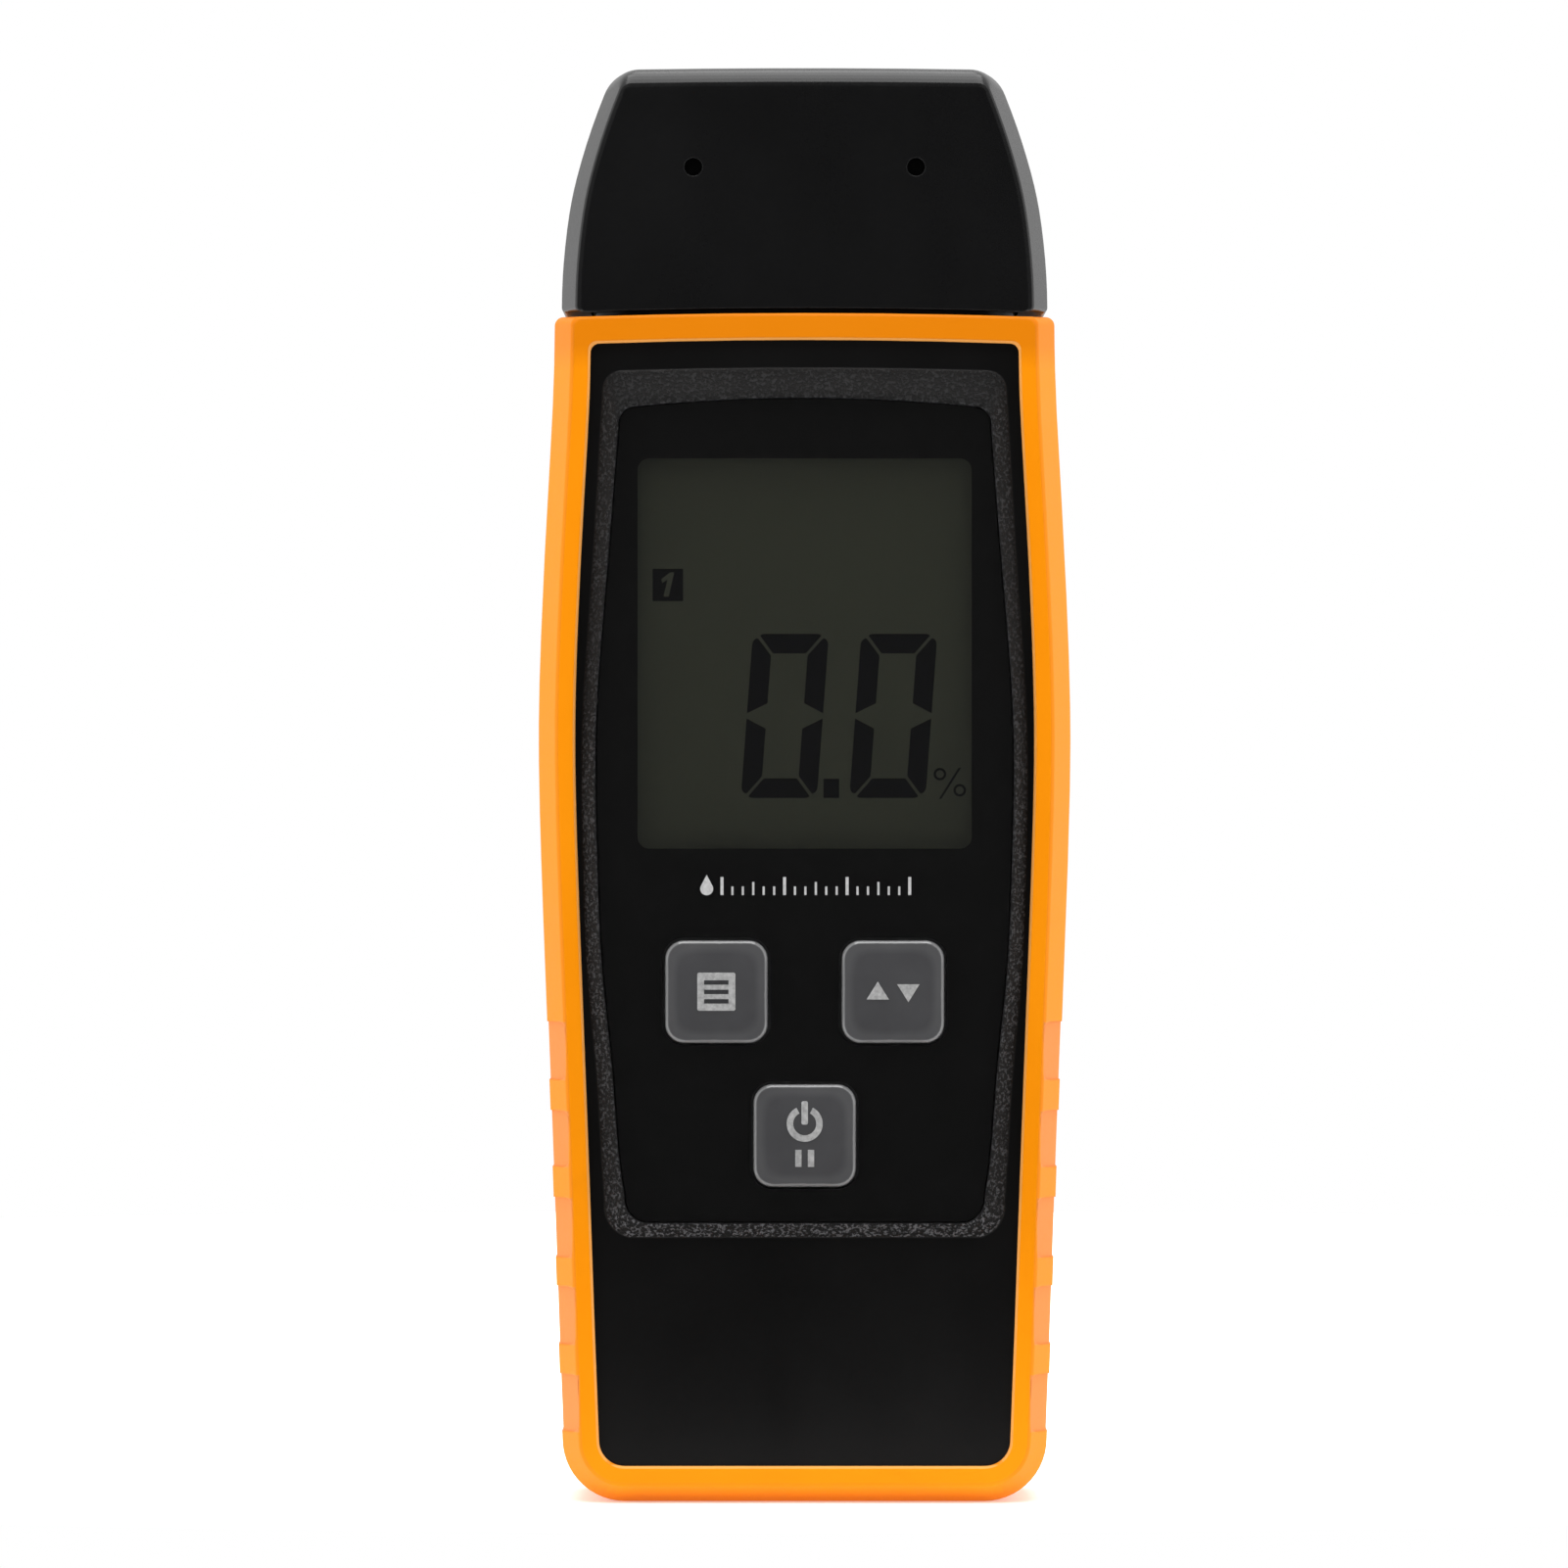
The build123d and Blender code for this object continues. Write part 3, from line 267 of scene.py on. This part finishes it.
# clear lens
lens = Mat("clear_lens", (1, 1, 1), 0.02, ior=1.49)
lens.set("Transmission Weight", 1.0)
lens.set("Roughness", lens.remap(lens.noise(90, 4.0, 0.6), 0.0, 0.012, 0.40, 0.80))
mats["lens"] = lens.m

# black print behind the lens
mp = Mat("black_print", (0.004, 0.004, 0.0042), 0.45, spec=0.03)
mp.set("Base Color", mp.ramp(mp.noise(400, 2.0), [(0.3, (0.0042, 0.0041, 0.0041)), (0.7, (0.0054, 0.0053, 0.0054))]))
mats["mask"] = mp.m

# display film: dark grey-green, in broad soft patches
lf = Mat("display_film", (0.030, 0.031, 0.022), 0.40, spec=0.08)
cloud = lf.noise(22, 2.0, 0.4)
film = lf.ramp(cloud, [(0.3, (0.0390, 0.0415, 0.0275)), (0.7, (0.0440, 0.0470, 0.0315))])
lf.set("Base Color", film)
lf.set("Roughness", lf.remap(lf.noise(1800, 2.0), 0.36, 0.46, 0.3, 0.7))
mats["film"] = lf.m

seg = Mat("segment_ink", (0.0012, 0.0012, 0.0022), 0.40, spec=0.0)
seg.set("Base Color", seg.ramp(seg.noise(300, 2.0), [(0.3, (0.0004, 0.0004, 0.0012)), (0.7, (0.0008, 0.0008, 0.0020))]))
mats["segment"] = seg.m

glass = Mat("display_glass", (0.55, 0.6, 0.56), 0.05, ior=1.5)
glass.set("Transmission Weight", 0.9)
glass.set("Roughness", glass.remap(glass.noise(120, 2.0), 0.03, 0.08, 0.3, 0.7))
mats["glass"] = glass.m

# keys: smoky, glossy, domed
ky = Mat("key_smoke", (0.055, 0.055, 0.060), 0.14, spec=0.5, ior=1.5)
kc = ky.ramp(ky.noise(260, 3.0, 0.5), [(0.25, (0.052, 0.052, 0.0550)), (0.75, (0.063, 0.063, 0.0665))])
# the clear shell is seen edge-on round the rim, which is paler than the middle; the thin outermost line round each key
# is a painted highlight
key_sep = ky.n.new("ShaderNodeSeparateXYZ")
ky.l.new(ky.co, key_sep.inputs[0])
key_rim_tone_and_highlight = None
for key_x, key_z in ((-9.82, 57.0), (9.82, 57.0), (0.0, 41.0)):
    ax = ky.math("ABSOLUTE", ky.math("SUBTRACT", key_sep.outputs["X"], key_x * MM), 0.0)
    az = ky.math("ABSOLUTE", ky.math("SUBTRACT", key_sep.outputs["Z"], key_z * MM), 0.0)
    # rounded-square distance, so that the rim follows the corners
    p4 = ky.math("POWER", ky.math("ADD", ky.math("POWER", ky.math("MULTIPLY", ax, 1000.0), 5.0),
                                  ky.math("POWER", ky.math("MULTIPLY", az, 1000.0), 5.0)), 0.2)
    near = ky.math("LESS_THAN", p4, 7.0)
    soft_ring = ky.math("MULTIPLY", ky.remap(p4, 0.0, 1.0, 4.2, 4.9), 0.17)
    # painted highlight: a thin pale line at each key's outer edge
    painted_edge_highlight_line = ky.math("MULTIPLY", ky.remap(p4, 0.0, 1.0, 5.50, 5.64), 0.50)
    rim_tone_and_highlight = ky.math("MULTIPLY", near, ky.math("ADD", soft_ring, painted_edge_highlight_line))
    key_rim_tone_and_highlight = rim_tone_and_highlight if key_rim_tone_and_highlight is None else ky.math("MAXIMUM", key_rim_tone_and_highlight, rim_tone_and_highlight)
rim_tone_highlight_mix = ky.math("MULTIPLY", key_rim_tone_and_highlight, ky.remap(ky.noise(150, 3.0), 0.70, 1.0, 0.3, 0.7))
ky.set("Base Color", ky.mix(rim_tone_highlight_mix, kc, (0.190, 0.190, 0.192)))
ky.set("Roughness", ky.remap(ky.noise(700, 3.0), 0.10, 0.18, 0.3, 0.7))
ky.set("Coat Weight", 0.8)
ky.set("Coat Roughness", 0.05)
ky.bump(ky.noise(260, 2.0), 0.06, 0.00004)
mats["key"] = ky.m

ink = Mat("key_print", (0.50, 0.50, 0.50), 0.4)
ink.set("Base Color", ink.ramp(ink.noise(2400, 3.0, 0.6), [(0.3, (0.27, 0.27, 0.27)), (0.7, (0.47, 0.47, 0.47))]))
ink.set("Roughness", ink.remap(ink.noise(1500, 2.0), 0.3, 0.5, 0.3, 0.7))
mats["ink"] = ink.m

ink2 = Mat("label_print", (0.56, 0.56, 0.56), 0.35)
ink2.set("Base Color", ink2.ramp(ink2.noise(2400, 3.0, 0.6), [(0.3, (0.42, 0.42, 0.42)), (0.7, (0.62, 0.62, 0.62))]))
mats["ink2"] = ink2.m

# dark infill on the boxed key symbol
dk = Mat("key_print_dark", (0.03, 0.03, 0.032), 0.4)
dk.set("Base Color", dk.ramp(dk.noise(2000, 2.0), [(0.3, (0.024, 0.024, 0.026)), (0.7, (0.034, 0.034, 0.037))]))
mats["dark_ink"] = dk.m


def metal(name, base, rough, brushed=(1, 1, 8), bump=0.05):
    m = Mat(name, base, rough, metallic=1.0)
    g = m.noise(900, 3.0, 0.6, stretch=brushed)
    m.set("Base Color", m.ramp(m.noise(160, 3.0), [(0.3, tuple(c * 0.86 for c in base)), (0.7, base)]))
    m.set("Roughness", m.remap(g, rough - 0.08, rough + 0.1, 0.3, 0.7))
    m.bump(g, bump, 0.00001, 0.00012)
    return m.m


mats["steel"] = metal("ground_steel", (0.66, 0.67, 0.68), 0.24, (6, 6, 1))
mats["screw"] = metal("zinc_screw", (0.50, 0.51, 0.52), 0.34, (1, 1, 1), 0.12)
mats["brass"] = metal("turned_brass", (0.72, 0.52, 0.22), 0.28, (1, 1, 14), 0.1)
mats["nickel"] = metal("nickel_spring", (0.68, 0.67, 0.64), 0.22, (1, 1, 1), 0.05)
mats["can"] = metal("drawn_can", (0.70, 0.71, 0.72), 0.3, (1, 8, 1), 0.08)


def plain(name, base, rough, var=0.14, grain=1500, bump=0.1, spec=0.5):
    m = Mat(name, base, rough, spec=spec)
    c = m.noise(grain * 0.2, 3.0)
    m.set("Base Color", m.ramp(c, [(0.3, tuple(x * (1 - var) for x in base)), (0.7, tuple(min(1, x * (1 + var)) for x in base))]))
    m.set("Roughness", m.remap(m.noise(grain, 2.0), rough - 0.06, rough + 0.06, 0.3, 0.7))
    m.bump(m.noise(grain, 2.0), bump, 0.00002, 0.00012)
    return m.m


mats["white"] = plain("white_nylon", (0.62, 0.62, 0.60), 0.5)
mats["guide"] = plain("milky_guide", (0.62, 0.68, 0.60), 0.3)
mats["led"] = plain("led_body", (0.85, 0.83, 0.70), 0.3)
mats["carbon"] = plain("carbon_rubber", (0.02, 0.02, 0.02), 0.6, bump=0.2)
mats["board"] = plain("solder_mask", (0.012, 0.12, 0.05), 0.28, grain=900)
mats["chip"] = plain("chip_epoxy", (0.02, 0.02, 0.022), 0.5, bump=0.2)
mats["ceramic"] = plain("ceramic", (0.42, 0.30, 0.20), 0.5)
mats["blue"] = plain("trimmer_body", (0.03, 0.12, 0.42), 0.35)
mats["silicone"] = plain("silicone", (0.14, 0.14, 0.15), 0.5)
mats["resistor"] = plain("resistor_body", (0.55, 0.44, 0.28), 0.4)
mats["silver_label"] = plain("label_film", (0.44, 0.45, 0.46), 0.36, var=0.05, grain=2200, bump=0.06)

# cell sleeve: dark wrap, a copper band at the positive end, steel ends
def cell_material(name, low, high):
    m = Mat(name, (0.02, 0.021, 0.024), 0.25)
    sep = m.n.new("ShaderNodeSeparateXYZ")
    m.l.new(m.co, sep.inputs[0])
    t = m.remap(sep.outputs["Z"], 0.0, 1.0, low, high)
    wrap = m.ramp(t, [(0.0, (0.55, 0.55, 0.55)), (0.035, (0.018, 0.019, 0.022)), (0.70, (0.020, 0.021, 0.025)),
                      (0.71, (0.62, 0.30, 0.10)), (0.94, (0.66, 0.33, 0.12)), (0.965, (0.55, 0.55, 0.55))])
    wrap.node.color_ramp.interpolation = "CONSTANT"
    fuzz = m.noise(240, 3.0)
    dim = m.ramp(fuzz, [(0.3, (0.85, 0.85, 0.85)), (0.7, (1, 1, 1))])
    mul = m.n.new("ShaderNodeMix")
    mul.data_type = "RGBA"
    mul.blend_type = "MULTIPLY"
    mul.inputs[0].default_value = 1.0
    m.l.new(wrap, mul.inputs[6])
    m.l.new(dim, mul.inputs[7])
    m.set("Base Color", mul.outputs[2])
    m.set("Roughness", m.remap(m.noise(500, 3.0), 0.2, 0.34, 0.3, 0.7))
    m.set("Metallic", 0.25)
    m.bump(m.noise(180, 2.0), 0.05, 0.00003, 0.0002)
    return m.m


def cell_ends(node):
    a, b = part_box(node)
    return a[2], b[2]


look = {
    "front_bumper": "orange", "rear_bumper": "orange",
    "front_case": "black", "rear_case": "black", "battery_door": "black",
    "protective_cap": "cap", "sensor_head": "head",
    "display_lens": "lens", "lens_mask": "mask", "lcd_frame": "white", "lcd_polarizers": "film",
    "lcd_front_glass": "glass", "lcd_rear_glass": "glass", "light_guide": "guide",
    "backlight_led": "led", "zebra_strip": "carbon", "main_pcb": "board",
    "processor_chip": "chip", "amplifier_chip": "chip", "chip_capacitors": "ceramic",
    "reservoir_capacitor": "can", "timing_crystal": "can", "trimmer": "blue",
    "pcb_screws": "screw", "case_screws": "screw",
    "key_mode": "key", "key_set": "key", "key_power": "key",
    "plunger_mode": "silicone", "plunger_set": "silicone", "plunger_power": "silicone",
    "pill_mode": "carbon", "pill_set": "carbon", "pill_power": "carbon", "keypad_mat": "silicone",
    "pin_sockets": "brass", "electrode_pin_left": "steel", "electrode_pin_right": "steel",
    "pin_leads": "nickel", "check_contacts": "carbon", "check_resistor": "resistor",
    "battery_springs": "nickel", "battery_links": "nickel", "battery_terminals": "nickel",
    "rating_label": "silver_label",
}
for name in ("battery_left", "battery_middle", "battery_right"):
    z0, z1 = cell_ends(name)
    if name == "battery_middle":
        z0, z1 = z1, z0
    mats[name] = cell_material("sleeve_" + name, z0, z1)
    look[name] = name

for name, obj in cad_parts.items():
    m = mats[look[name]]
    if not obj.data.materials:
        obj.data.materials.append(m)
    for s in obj.material_slots:
        s.link = "OBJECT"
        s.material = m


# ============================================================================
# Thin printed shapes
# ============================================================================
# the black print is bonded to the back of the lens, so its face is just inside it
film_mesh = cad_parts["lens_mask"].data.copy()
film_mesh.name = "bonded_print"
film_mesh.transform(Matrix.Translation((0, -0.00002, 0)))
film_mesh.materials.clear()
film_mesh.materials.append(mats["mask"])
bonded = bpy.data.objects.new("bonded_print", film_mesh)
scene.collection.objects.link(bonded)
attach(bonded, "meter")
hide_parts("lens_mask")


def flat_piece(name, rings, depth, mat, body, thick=0.00004, dome=None, grid=0.00045):
    """A thin printed shape seen from the front.

    rings: list of closed outlines [(x, z), ...] in mm, each a filled region.
    depth: function (x, z) in mm -> y in mm of the surface it lies on.
    """
    bm = bmesh.new()
    for ring in rings:
        vs = [bm.verts.new((x * MM, 0, z * MM)) for x, z in ring]
        bm.faces.new(vs)
    bmesh.ops.triangulate(bm, faces=bm.faces[:])
    if dome:
        for _ in range(dome):
            bmesh.ops.subdivide_edges(bm, edges=[e for e in bm.edges if e.calc_length() > grid], cuts=1)
            bmesh.ops.triangulate(bm, faces=[f for f in bm.faces if len(f.verts) > 3])
    front = bm.faces[:]
    back = bmesh.ops.extrude_face_region(bm, geom=front)
    moved = [v for v in back["geom"] if isinstance(v, bmesh.types.BMVert)]
    top = set(moved)
    for v in bm.verts:
        y = depth(v.co.x / MM, v.co.z / MM) * MM
        v.co.y = y - thick if v in top else y
    bmesh.ops.recalc_face_normals(bm, faces=bm.faces[:])
    me = bpy.data.meshes.new(name)
    bm.to_mesh(me)
    bm.free()
    me.materials.append(mat)
    ob = bpy.data.objects.new(name, me)
    scene.collection.objects.link(ob)
    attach(ob, body)
    return ob


def rect(x0, x1, z0, z1):
    return [(x0, z0), (x1, z0), (x1, z1), (x0, z1)]


def round_rect(cx, cz, w, h, r, n=6):
    pts = []
    for qx, qz, a0 in ((1, -1, -90), (1, 1, 0), (-1, 1, 90), (-1, -1, 180)):
        for i in range(n + 1):
            a = math.radians(a0 + 90 * i / n)
            pts.append((cx + qx * (w / 2 - r) + r * math.cos(a), cz + qz * (h / 2 - r) + r * math.sin(a)))
    return pts


def arc_band(cx, cz, r0, r1, a0, a1, n=28):
    """Quads along a ring sector between two angles in degrees."""
    quads = []
    for i in range(n):
        p, q = (math.radians(a0 + (a1 - a0) * k / n) for k in (i, i + 1))
        quads.append([(cx + r0 * math.cos(p), cz + r0 * math.sin(p)), (cx + r1 * math.cos(p), cz + r1 * math.sin(p)),
                      (cx + r1 * math.cos(q), cz + r1 * math.sin(q)), (cx + r0 * math.cos(q), cz + r0 * math.sin(q))])
    return quads


def disc(cx, cz, r, n=24):
    return [(cx + r * math.cos(2 * math.pi * i / n), cz + r * math.sin(2 * math.pi * i / n)) for i in range(n)]


# ---- display figures -----------------------------------------------------------
SLANT = math.tan(math.radians(4.2))
film_lo, film_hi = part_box("lcd_polarizers")
FILM_Y = film_lo[1] / MM


def digit(x0, x1, z0, z1, segs, stroke=2.2):
    """Slanted seven-segment figure in the box x0..x1 (at its foot), z0..z1."""
    h = z1 - z0
    w = (x1 - x0) - h * SLANT
    zm = z0 + h / 2
    s = stroke

    def place(points, flip_x, flip_z):
        out = []
        for x, z in points:
            x = w - x if flip_x else x
            z = (z0 + z) if flip_z else (z1 - z)
            out.append((x0 + x + (z - z0) * SLANT, z))
        return out

    # measured from the figure's top left corner: x to the right, z downward
    upright = [(0.0, h / 2 - 0.30), (0.0, 1.25), (0.06, 0.92), (0.22, 0.66), (0.42, 0.52), (0.62, 0.50),
               (s, s + 0.22), (s, h / 2 - 1.42)]
    flat = [(0.84, 0.22), (0.98, 0.07), (1.25, 0.0), (w - 1.25, 0.0), (w - 0.98, 0.07), (w - 0.84, 0.22),
            (w - s - 0.22, s - 0.02), (s + 0.22, s - 0.02)]
    out = []
    for name, points, flip_x, flip_z in (("f", upright, False, False), ("b", upright, True, False),
                                         ("e", upright, False, True), ("c", upright, True, True),
                                         ("a", flat, False, False), ("d", flat, False, True)):
        if name in segs:
            out.append(place(points, flip_x, flip_z))
    if "g" in segs:
        out.append([(x0 + x + (z - z0) * SLANT, z) for x, z in (
            (0.5, zm), (s, zm + s / 2), (w - s, zm + s / 2), (w - 0.5, zm), (w - s, zm - s / 2), (s, zm - s / 2))])
    return out


def on_film(x, z):
    return FILM_Y - 0.004


figures = digit(-7.12, 2.71, 78.55, 96.84, "abcdef")
flat_piece("figure_tens", figures, on_film, mats["segment"], "meter", thick=0.00002)
figures = digit(4.98, 14.82, 78.55, 96.84, "abcdef")
flat_piece("figure_tenths", figures, on_film, mats["segment"], "meter", thick=0.00002)
flat_piece("figure_point", [rect(2.1, 3.85, 78.55, 80.68)], on_film, mats["segment"], "meter", thick=0.00002)
percent = arc_band(15.09, 81.2, 0.44, 0.70, 0, 360, 24) + arc_band(17.30, 79.4, 0.44, 0.70, 0, 360, 24)
percent.append([(14.98, 78.45), (15.26, 78.45), (17.44, 81.9), (17.16, 81.9)])
flat_piece("figure_percent", percent, on_film, mats["segment"], "meter", thick=0.00002)

# group mark: a filled box with a figure 1 left open in it
bx0, bx1, bz0, bz1 = -16.95, -13.56, 100.5, 104.1
flat_piece("figure_group_box", [rect(bx0, bx1, bz0, bz1)], on_film, mats["segment"], "meter", thick=0.00002)
one = [(-15.75, 101.0), (-15.15, 101.0), (-14.55, 103.7), (-15.0, 103.7), (-16.0, 102.95), (-15.87, 102.5), (-15.3, 102.9)]
flat_piece("figure_group_one", [one], lambda x, z: FILM_Y - 0.03, mats["film"], "meter", thick=0.00002)

# ---- graduated scale printed where the label line sits -----------------------------
lens_lo, lens_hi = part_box("display_lens")
LENS_Y = lens_lo[1] / MM


def on_lens(x, z):
    return LENS_Y - 0.001


drop = []
for i in range(25):
    t = i / 24
    a = math.radians(-215 + 250 * t)
    drop.append((-10.9 + 0.74 * math.cos(a + math.pi / 2 + math.radians(0)), 68.35 + 0.74 * math.sin(a + math.pi / 2)))
drop = [(-10.9 + 0.72 * math.cos(math.radians(35 - 250 * i / 20)), 68.45 + 0.72 * math.sin(math.radians(35 - 250 * i / 20))) for i in range(21)]
drop.append((-10.9, 70.0))
marks = [drop]
for i in range(19):
    x = -9.2 + i * 1.16
    tall = 2.0 if i % 6 == 0 else (1.45 if i % 3 == 0 else 0.95)
    wide = 0.34 if i % 6 == 0 else 0.24
    marks.append(rect(x - wide / 2, x + wide / 2, 67.75, 67.75 + tall))
flat_piece("scale_print", marks, on_lens, mats["ink2"], "meter", thick=0.00002)

# ---- key symbols ---------------------------------------------------------------------
KEY_R = 34.0


def on_key(kx, kz):
    def depth(x, z):
        return -14.0 + KEY_R - math.sqrt(KEY_R ** 2 - (x - kx) ** 2 - (z - kz) ** 2) - 0.003
    return depth


# mode: a light square with three dark bars
kx, kz = -9.82, 57.0
flat_piece("mode_symbol_plate", [round_rect(kx, kz + 0.02, 4.24, 4.24, 0.22, 3)], on_key(kx, kz), mats["ink"], "mode_key", dome=5)
bars = [rect(kx - 1.35, kx + 1.35, kz + dz - 0.24, kz + dz + 0.24) for dz in (1.05, 0.0, -1.05)]


def above_key(x, z, kx=kx, kz=kz):
    return on_key(kx, kz)(x, z) - 0.04


flat_piece("mode_symbol_bars", bars, above_key, mats["dark_ink"], "mode_key", thick=0.00002, dome=4)

# set: a pair of arrows, up and down
kx, kz = 9.82, 57.0
arrows = [
    [(kx - 2.95, kz - 0.85), (kx - 0.45, kz - 0.85), (kx - 1.7, kz + 1.15)],
    [(kx + 0.45, kz + 0.85), (kx + 2.95, kz + 0.85), (kx + 1.7, kz - 1.15)],
]
flat_piece("set_symbol", arrows, on_key(kx, kz), mats["ink"], "set_key", dome=5)

# power and hold: broken ring with its bar, and a pause mark below
kx, kz = 0.0, 41.0
ring = arc_band(kx, kz + 1.35, 1.28, 2.0, 90 + 27, 90 + 333, 40)
ring.append(round_rect(kx, kz + 2.55, 0.72, 2.6, 0.2, 3))
flat_piece("power_symbol", ring, on_key(kx, kz), mats["ink"], "power_key", dome=4)
pause = [rect(kx - 1.05, kx - 0.35, kz - 3.45, kz - 1.55), rect(kx + 0.35, kx + 1.05, kz - 3.45, kz - 1.55)]
flat_piece("hold_symbol", pause, on_key(kx, kz), mats["ink"], "power_key", dome=4)

# ---- rating label: ruled table and two simple pictures, at the back ---------------------
lab_lo, lab_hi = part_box("rating_label")
LAB_Y = lab_hi[1] / MM


def on_label(x, z):
    return LAB_Y + 0.02


rules = [rect(-15.4, 15.4, z - 0.09, z + 0.09) for z in (111.4, 106.2, 101.0, 95.8, 76.6)]
rules += [rect(x - 0.09, x + 0.09, 95.8, 111.4) for x in (-15.4, -3.0, 15.4)]
rules += [rect(-13.8, -5.2, z - 0.3, z + 0.3) for z in (108.8, 103.6, 98.4)]
rules += [rect(-1.6, 13.4 - 2.4 * i, z - 0.3, z + 0.3) for i, z in enumerate((108.8, 103.6, 98.4))]
# droplet over a board
rules += [[(-9.5 + 2.3 * math.cos(math.radians(35 - 250 * i / 20)), 85.6 + 2.3 * math.sin(math.radians(35 - 250 * i / 20))) for i in range(21)] + [(-9.5, 90.6)]]
rules += [rect(-14.0, -5.0, 79.4, 81.4)]
# three cells
for i in range(3):
    rules += [rect(1.6 + 4.4 * i, 4.6 + 4.4 * i, 79.4, 88.2), rect(2.5 + 4.4 * i, 3.7 + 4.4 * i, 88.2, 89.2)]
flat_piece("label_rules", rules, on_label, mats["mask"], "meter", thick=0.00002)

# ============================================================================
# Floor, light and camera
# ============================================================================
me = bpy.data.meshes.new("floor")
rim = [(0.36 * math.cos(2 * math.pi * i / 96), 0.31 + 0.36 * math.sin(2 * math.pi * i / 96), 0) for i in range(96)]
me.from_pydata(rim, [], [list(range(96))])
floor = bpy.data.objects.new("floor", me)
scene.collection.objects.link(floor)
fm = Mat("pale_floor", (0.86, 0.86, 0.86), 0.75, spec=0.2)
fm.set("Base Color", fm.ramp(fm.noise(9, 3.0), [(0.3, (0.855, 0.855, 0.855)), (0.7, (0.875, 0.875, 0.875))]))
fm.set("Emission Color", (1.0, 1.0, 1.0, 1.0))
fm.set("Emission Strength", 0.30)
me.materials.append(fm.m)
floor.location.z = -0.00002

# soft tent: bright all round, with a dark gap in front and behind
world = bpy.data.worlds.new("tent")
scene.world = world
world.use_nodes = True
wt = world.node_tree
wt.nodes.clear()
out = wt.nodes.new("ShaderNodeOutputWorld")
co = wt.nodes.new("ShaderNodeTexCoord")
sep = wt.nodes.new("ShaderNodeSeparateXYZ")
wt.links.new(co.outputs["Generated"], sep.inputs[0])
back = wt.nodes.new("ShaderNodeMath"); back.operation = "MULTIPLY"
wt.links.new(sep.outputs["Y"], back.inputs[0]); back.inputs[1].default_value = 0.70
fore = wt.nodes.new("ShaderNodeMath"); fore.operation = "MULTIPLY"
wt.links.new(sep.outputs["Y"], fore.inputs[0]); fore.inputs[1].default_value = -1.0
ab = wt.nodes.new("ShaderNodeMath"); ab.operation = "MAXIMUM"
wt.links.new(fore.outputs[0], ab.inputs[0]); wt.links.new(back.outputs[0], ab.inputs[1])
mr = wt.nodes.new("ShaderNodeMapRange")
mr.interpolation_type = "SMOOTHSTEP"
mr.inputs["From Min"].default_value = 0.50
mr.inputs["From Max"].default_value = 0.80
mr.inputs["To Min"].default_value = 1.86
mr.inputs["To Max"].default_value = 0.08
wt.links.new(ab.outputs[0], mr.inputs["Value"])
up = wt.nodes.new("ShaderNodeMapRange")
up.inputs["From Min"].default_value = -0.1
up.inputs["From Max"].default_value = 0.9
up.inputs["To Min"].default_value = 1.10
up.inputs["To Max"].default_value = 0.66
wt.links.new(sep.outputs["Z"], up.inputs["Value"])
ring = wt.nodes.new("ShaderNodeMapRange")
ring.inputs["From Min"].default_value = 0.0
ring.inputs["From Max"].default_value = 0.45
ring.inputs["To Min"].default_value = 0.92
ring.inputs["To Max"].default_value = 1.12
wt.links.new(fore.outputs[0], ring.inputs["Value"])
shade = wt.nodes.new("ShaderNodeMath"); shade.operation = "MULTIPLY"
wt.links.new(mr.outputs[0], shade.inputs[0])
wt.links.new(ring.outputs[0], shade.inputs[1])
mul = wt.nodes.new("ShaderNodeMath"); mul.operation = "MULTIPLY"
wt.links.new(shade.outputs[0], mul.inputs[0])
wt.links.new(up.outputs[0], mul.inputs[1])
soft = wt.nodes.new("ShaderNodeBackground")
wt.links.new(mul.outputs[0], soft.inputs["Strength"])
soft.inputs["Color"].default_value = (1.0, 1.0, 1.0, 1)
seen = wt.nodes.new("ShaderNodeBackground")
seen.inputs["Color"].default_value = (1, 1, 1, 1)
seen.inputs["Strength"].default_value = 1.0
lp = wt.nodes.new("ShaderNodeLightPath")
mx = wt.nodes.new("ShaderNodeMixShader")
wt.links.new(lp.outputs["Is Camera Ray"], mx.inputs[0])
wt.links.new(soft.outputs[0], mx.inputs[1])
wt.links.new(seen.outputs[0], mx.inputs[2])
wt.links.new(mx.outputs[0], out.inputs["Surface"])


def area(name, loc, target, size, size_y, power, color=(1, 1, 1)):
    d = bpy.data.lights.new(name, "AREA")
    d.shape = "RECTANGLE"
    d.size, d.size_y = size, size_y
    d.energy = power
    d.color = color
    o = bpy.data.objects.new(name, d)
    scene.collection.objects.link(o)
    o.location = loc
    o.rotation_mode = "QUATERNION"
    o.rotation_quaternion = (Vector(target) - Vector(loc)).to_track_quat("-Z", "Y")
    return o


area("soft_top", (0.0, -0.10, 0.95), (0, 0, 0.09), 0.8, 1.10, 10.0)

cam_data = bpy.data.cameras.new("camera")
cam = bpy.data.objects.new("camera", cam_data)
scene.collection.objects.link(cam)
DIST = 1.0
cam_data.sensor_width = 36.0
cam_data.lens = 36.0 / 0.17509 * DIST
cam_data.clip_start, cam_data.clip_end = 0.05, 30
cam.location = (-0.0023, -0.0090 - DIST, 0.0801)
cam.rotation_euler = (math.radians(90), 0, 0)
scene.camera = cam
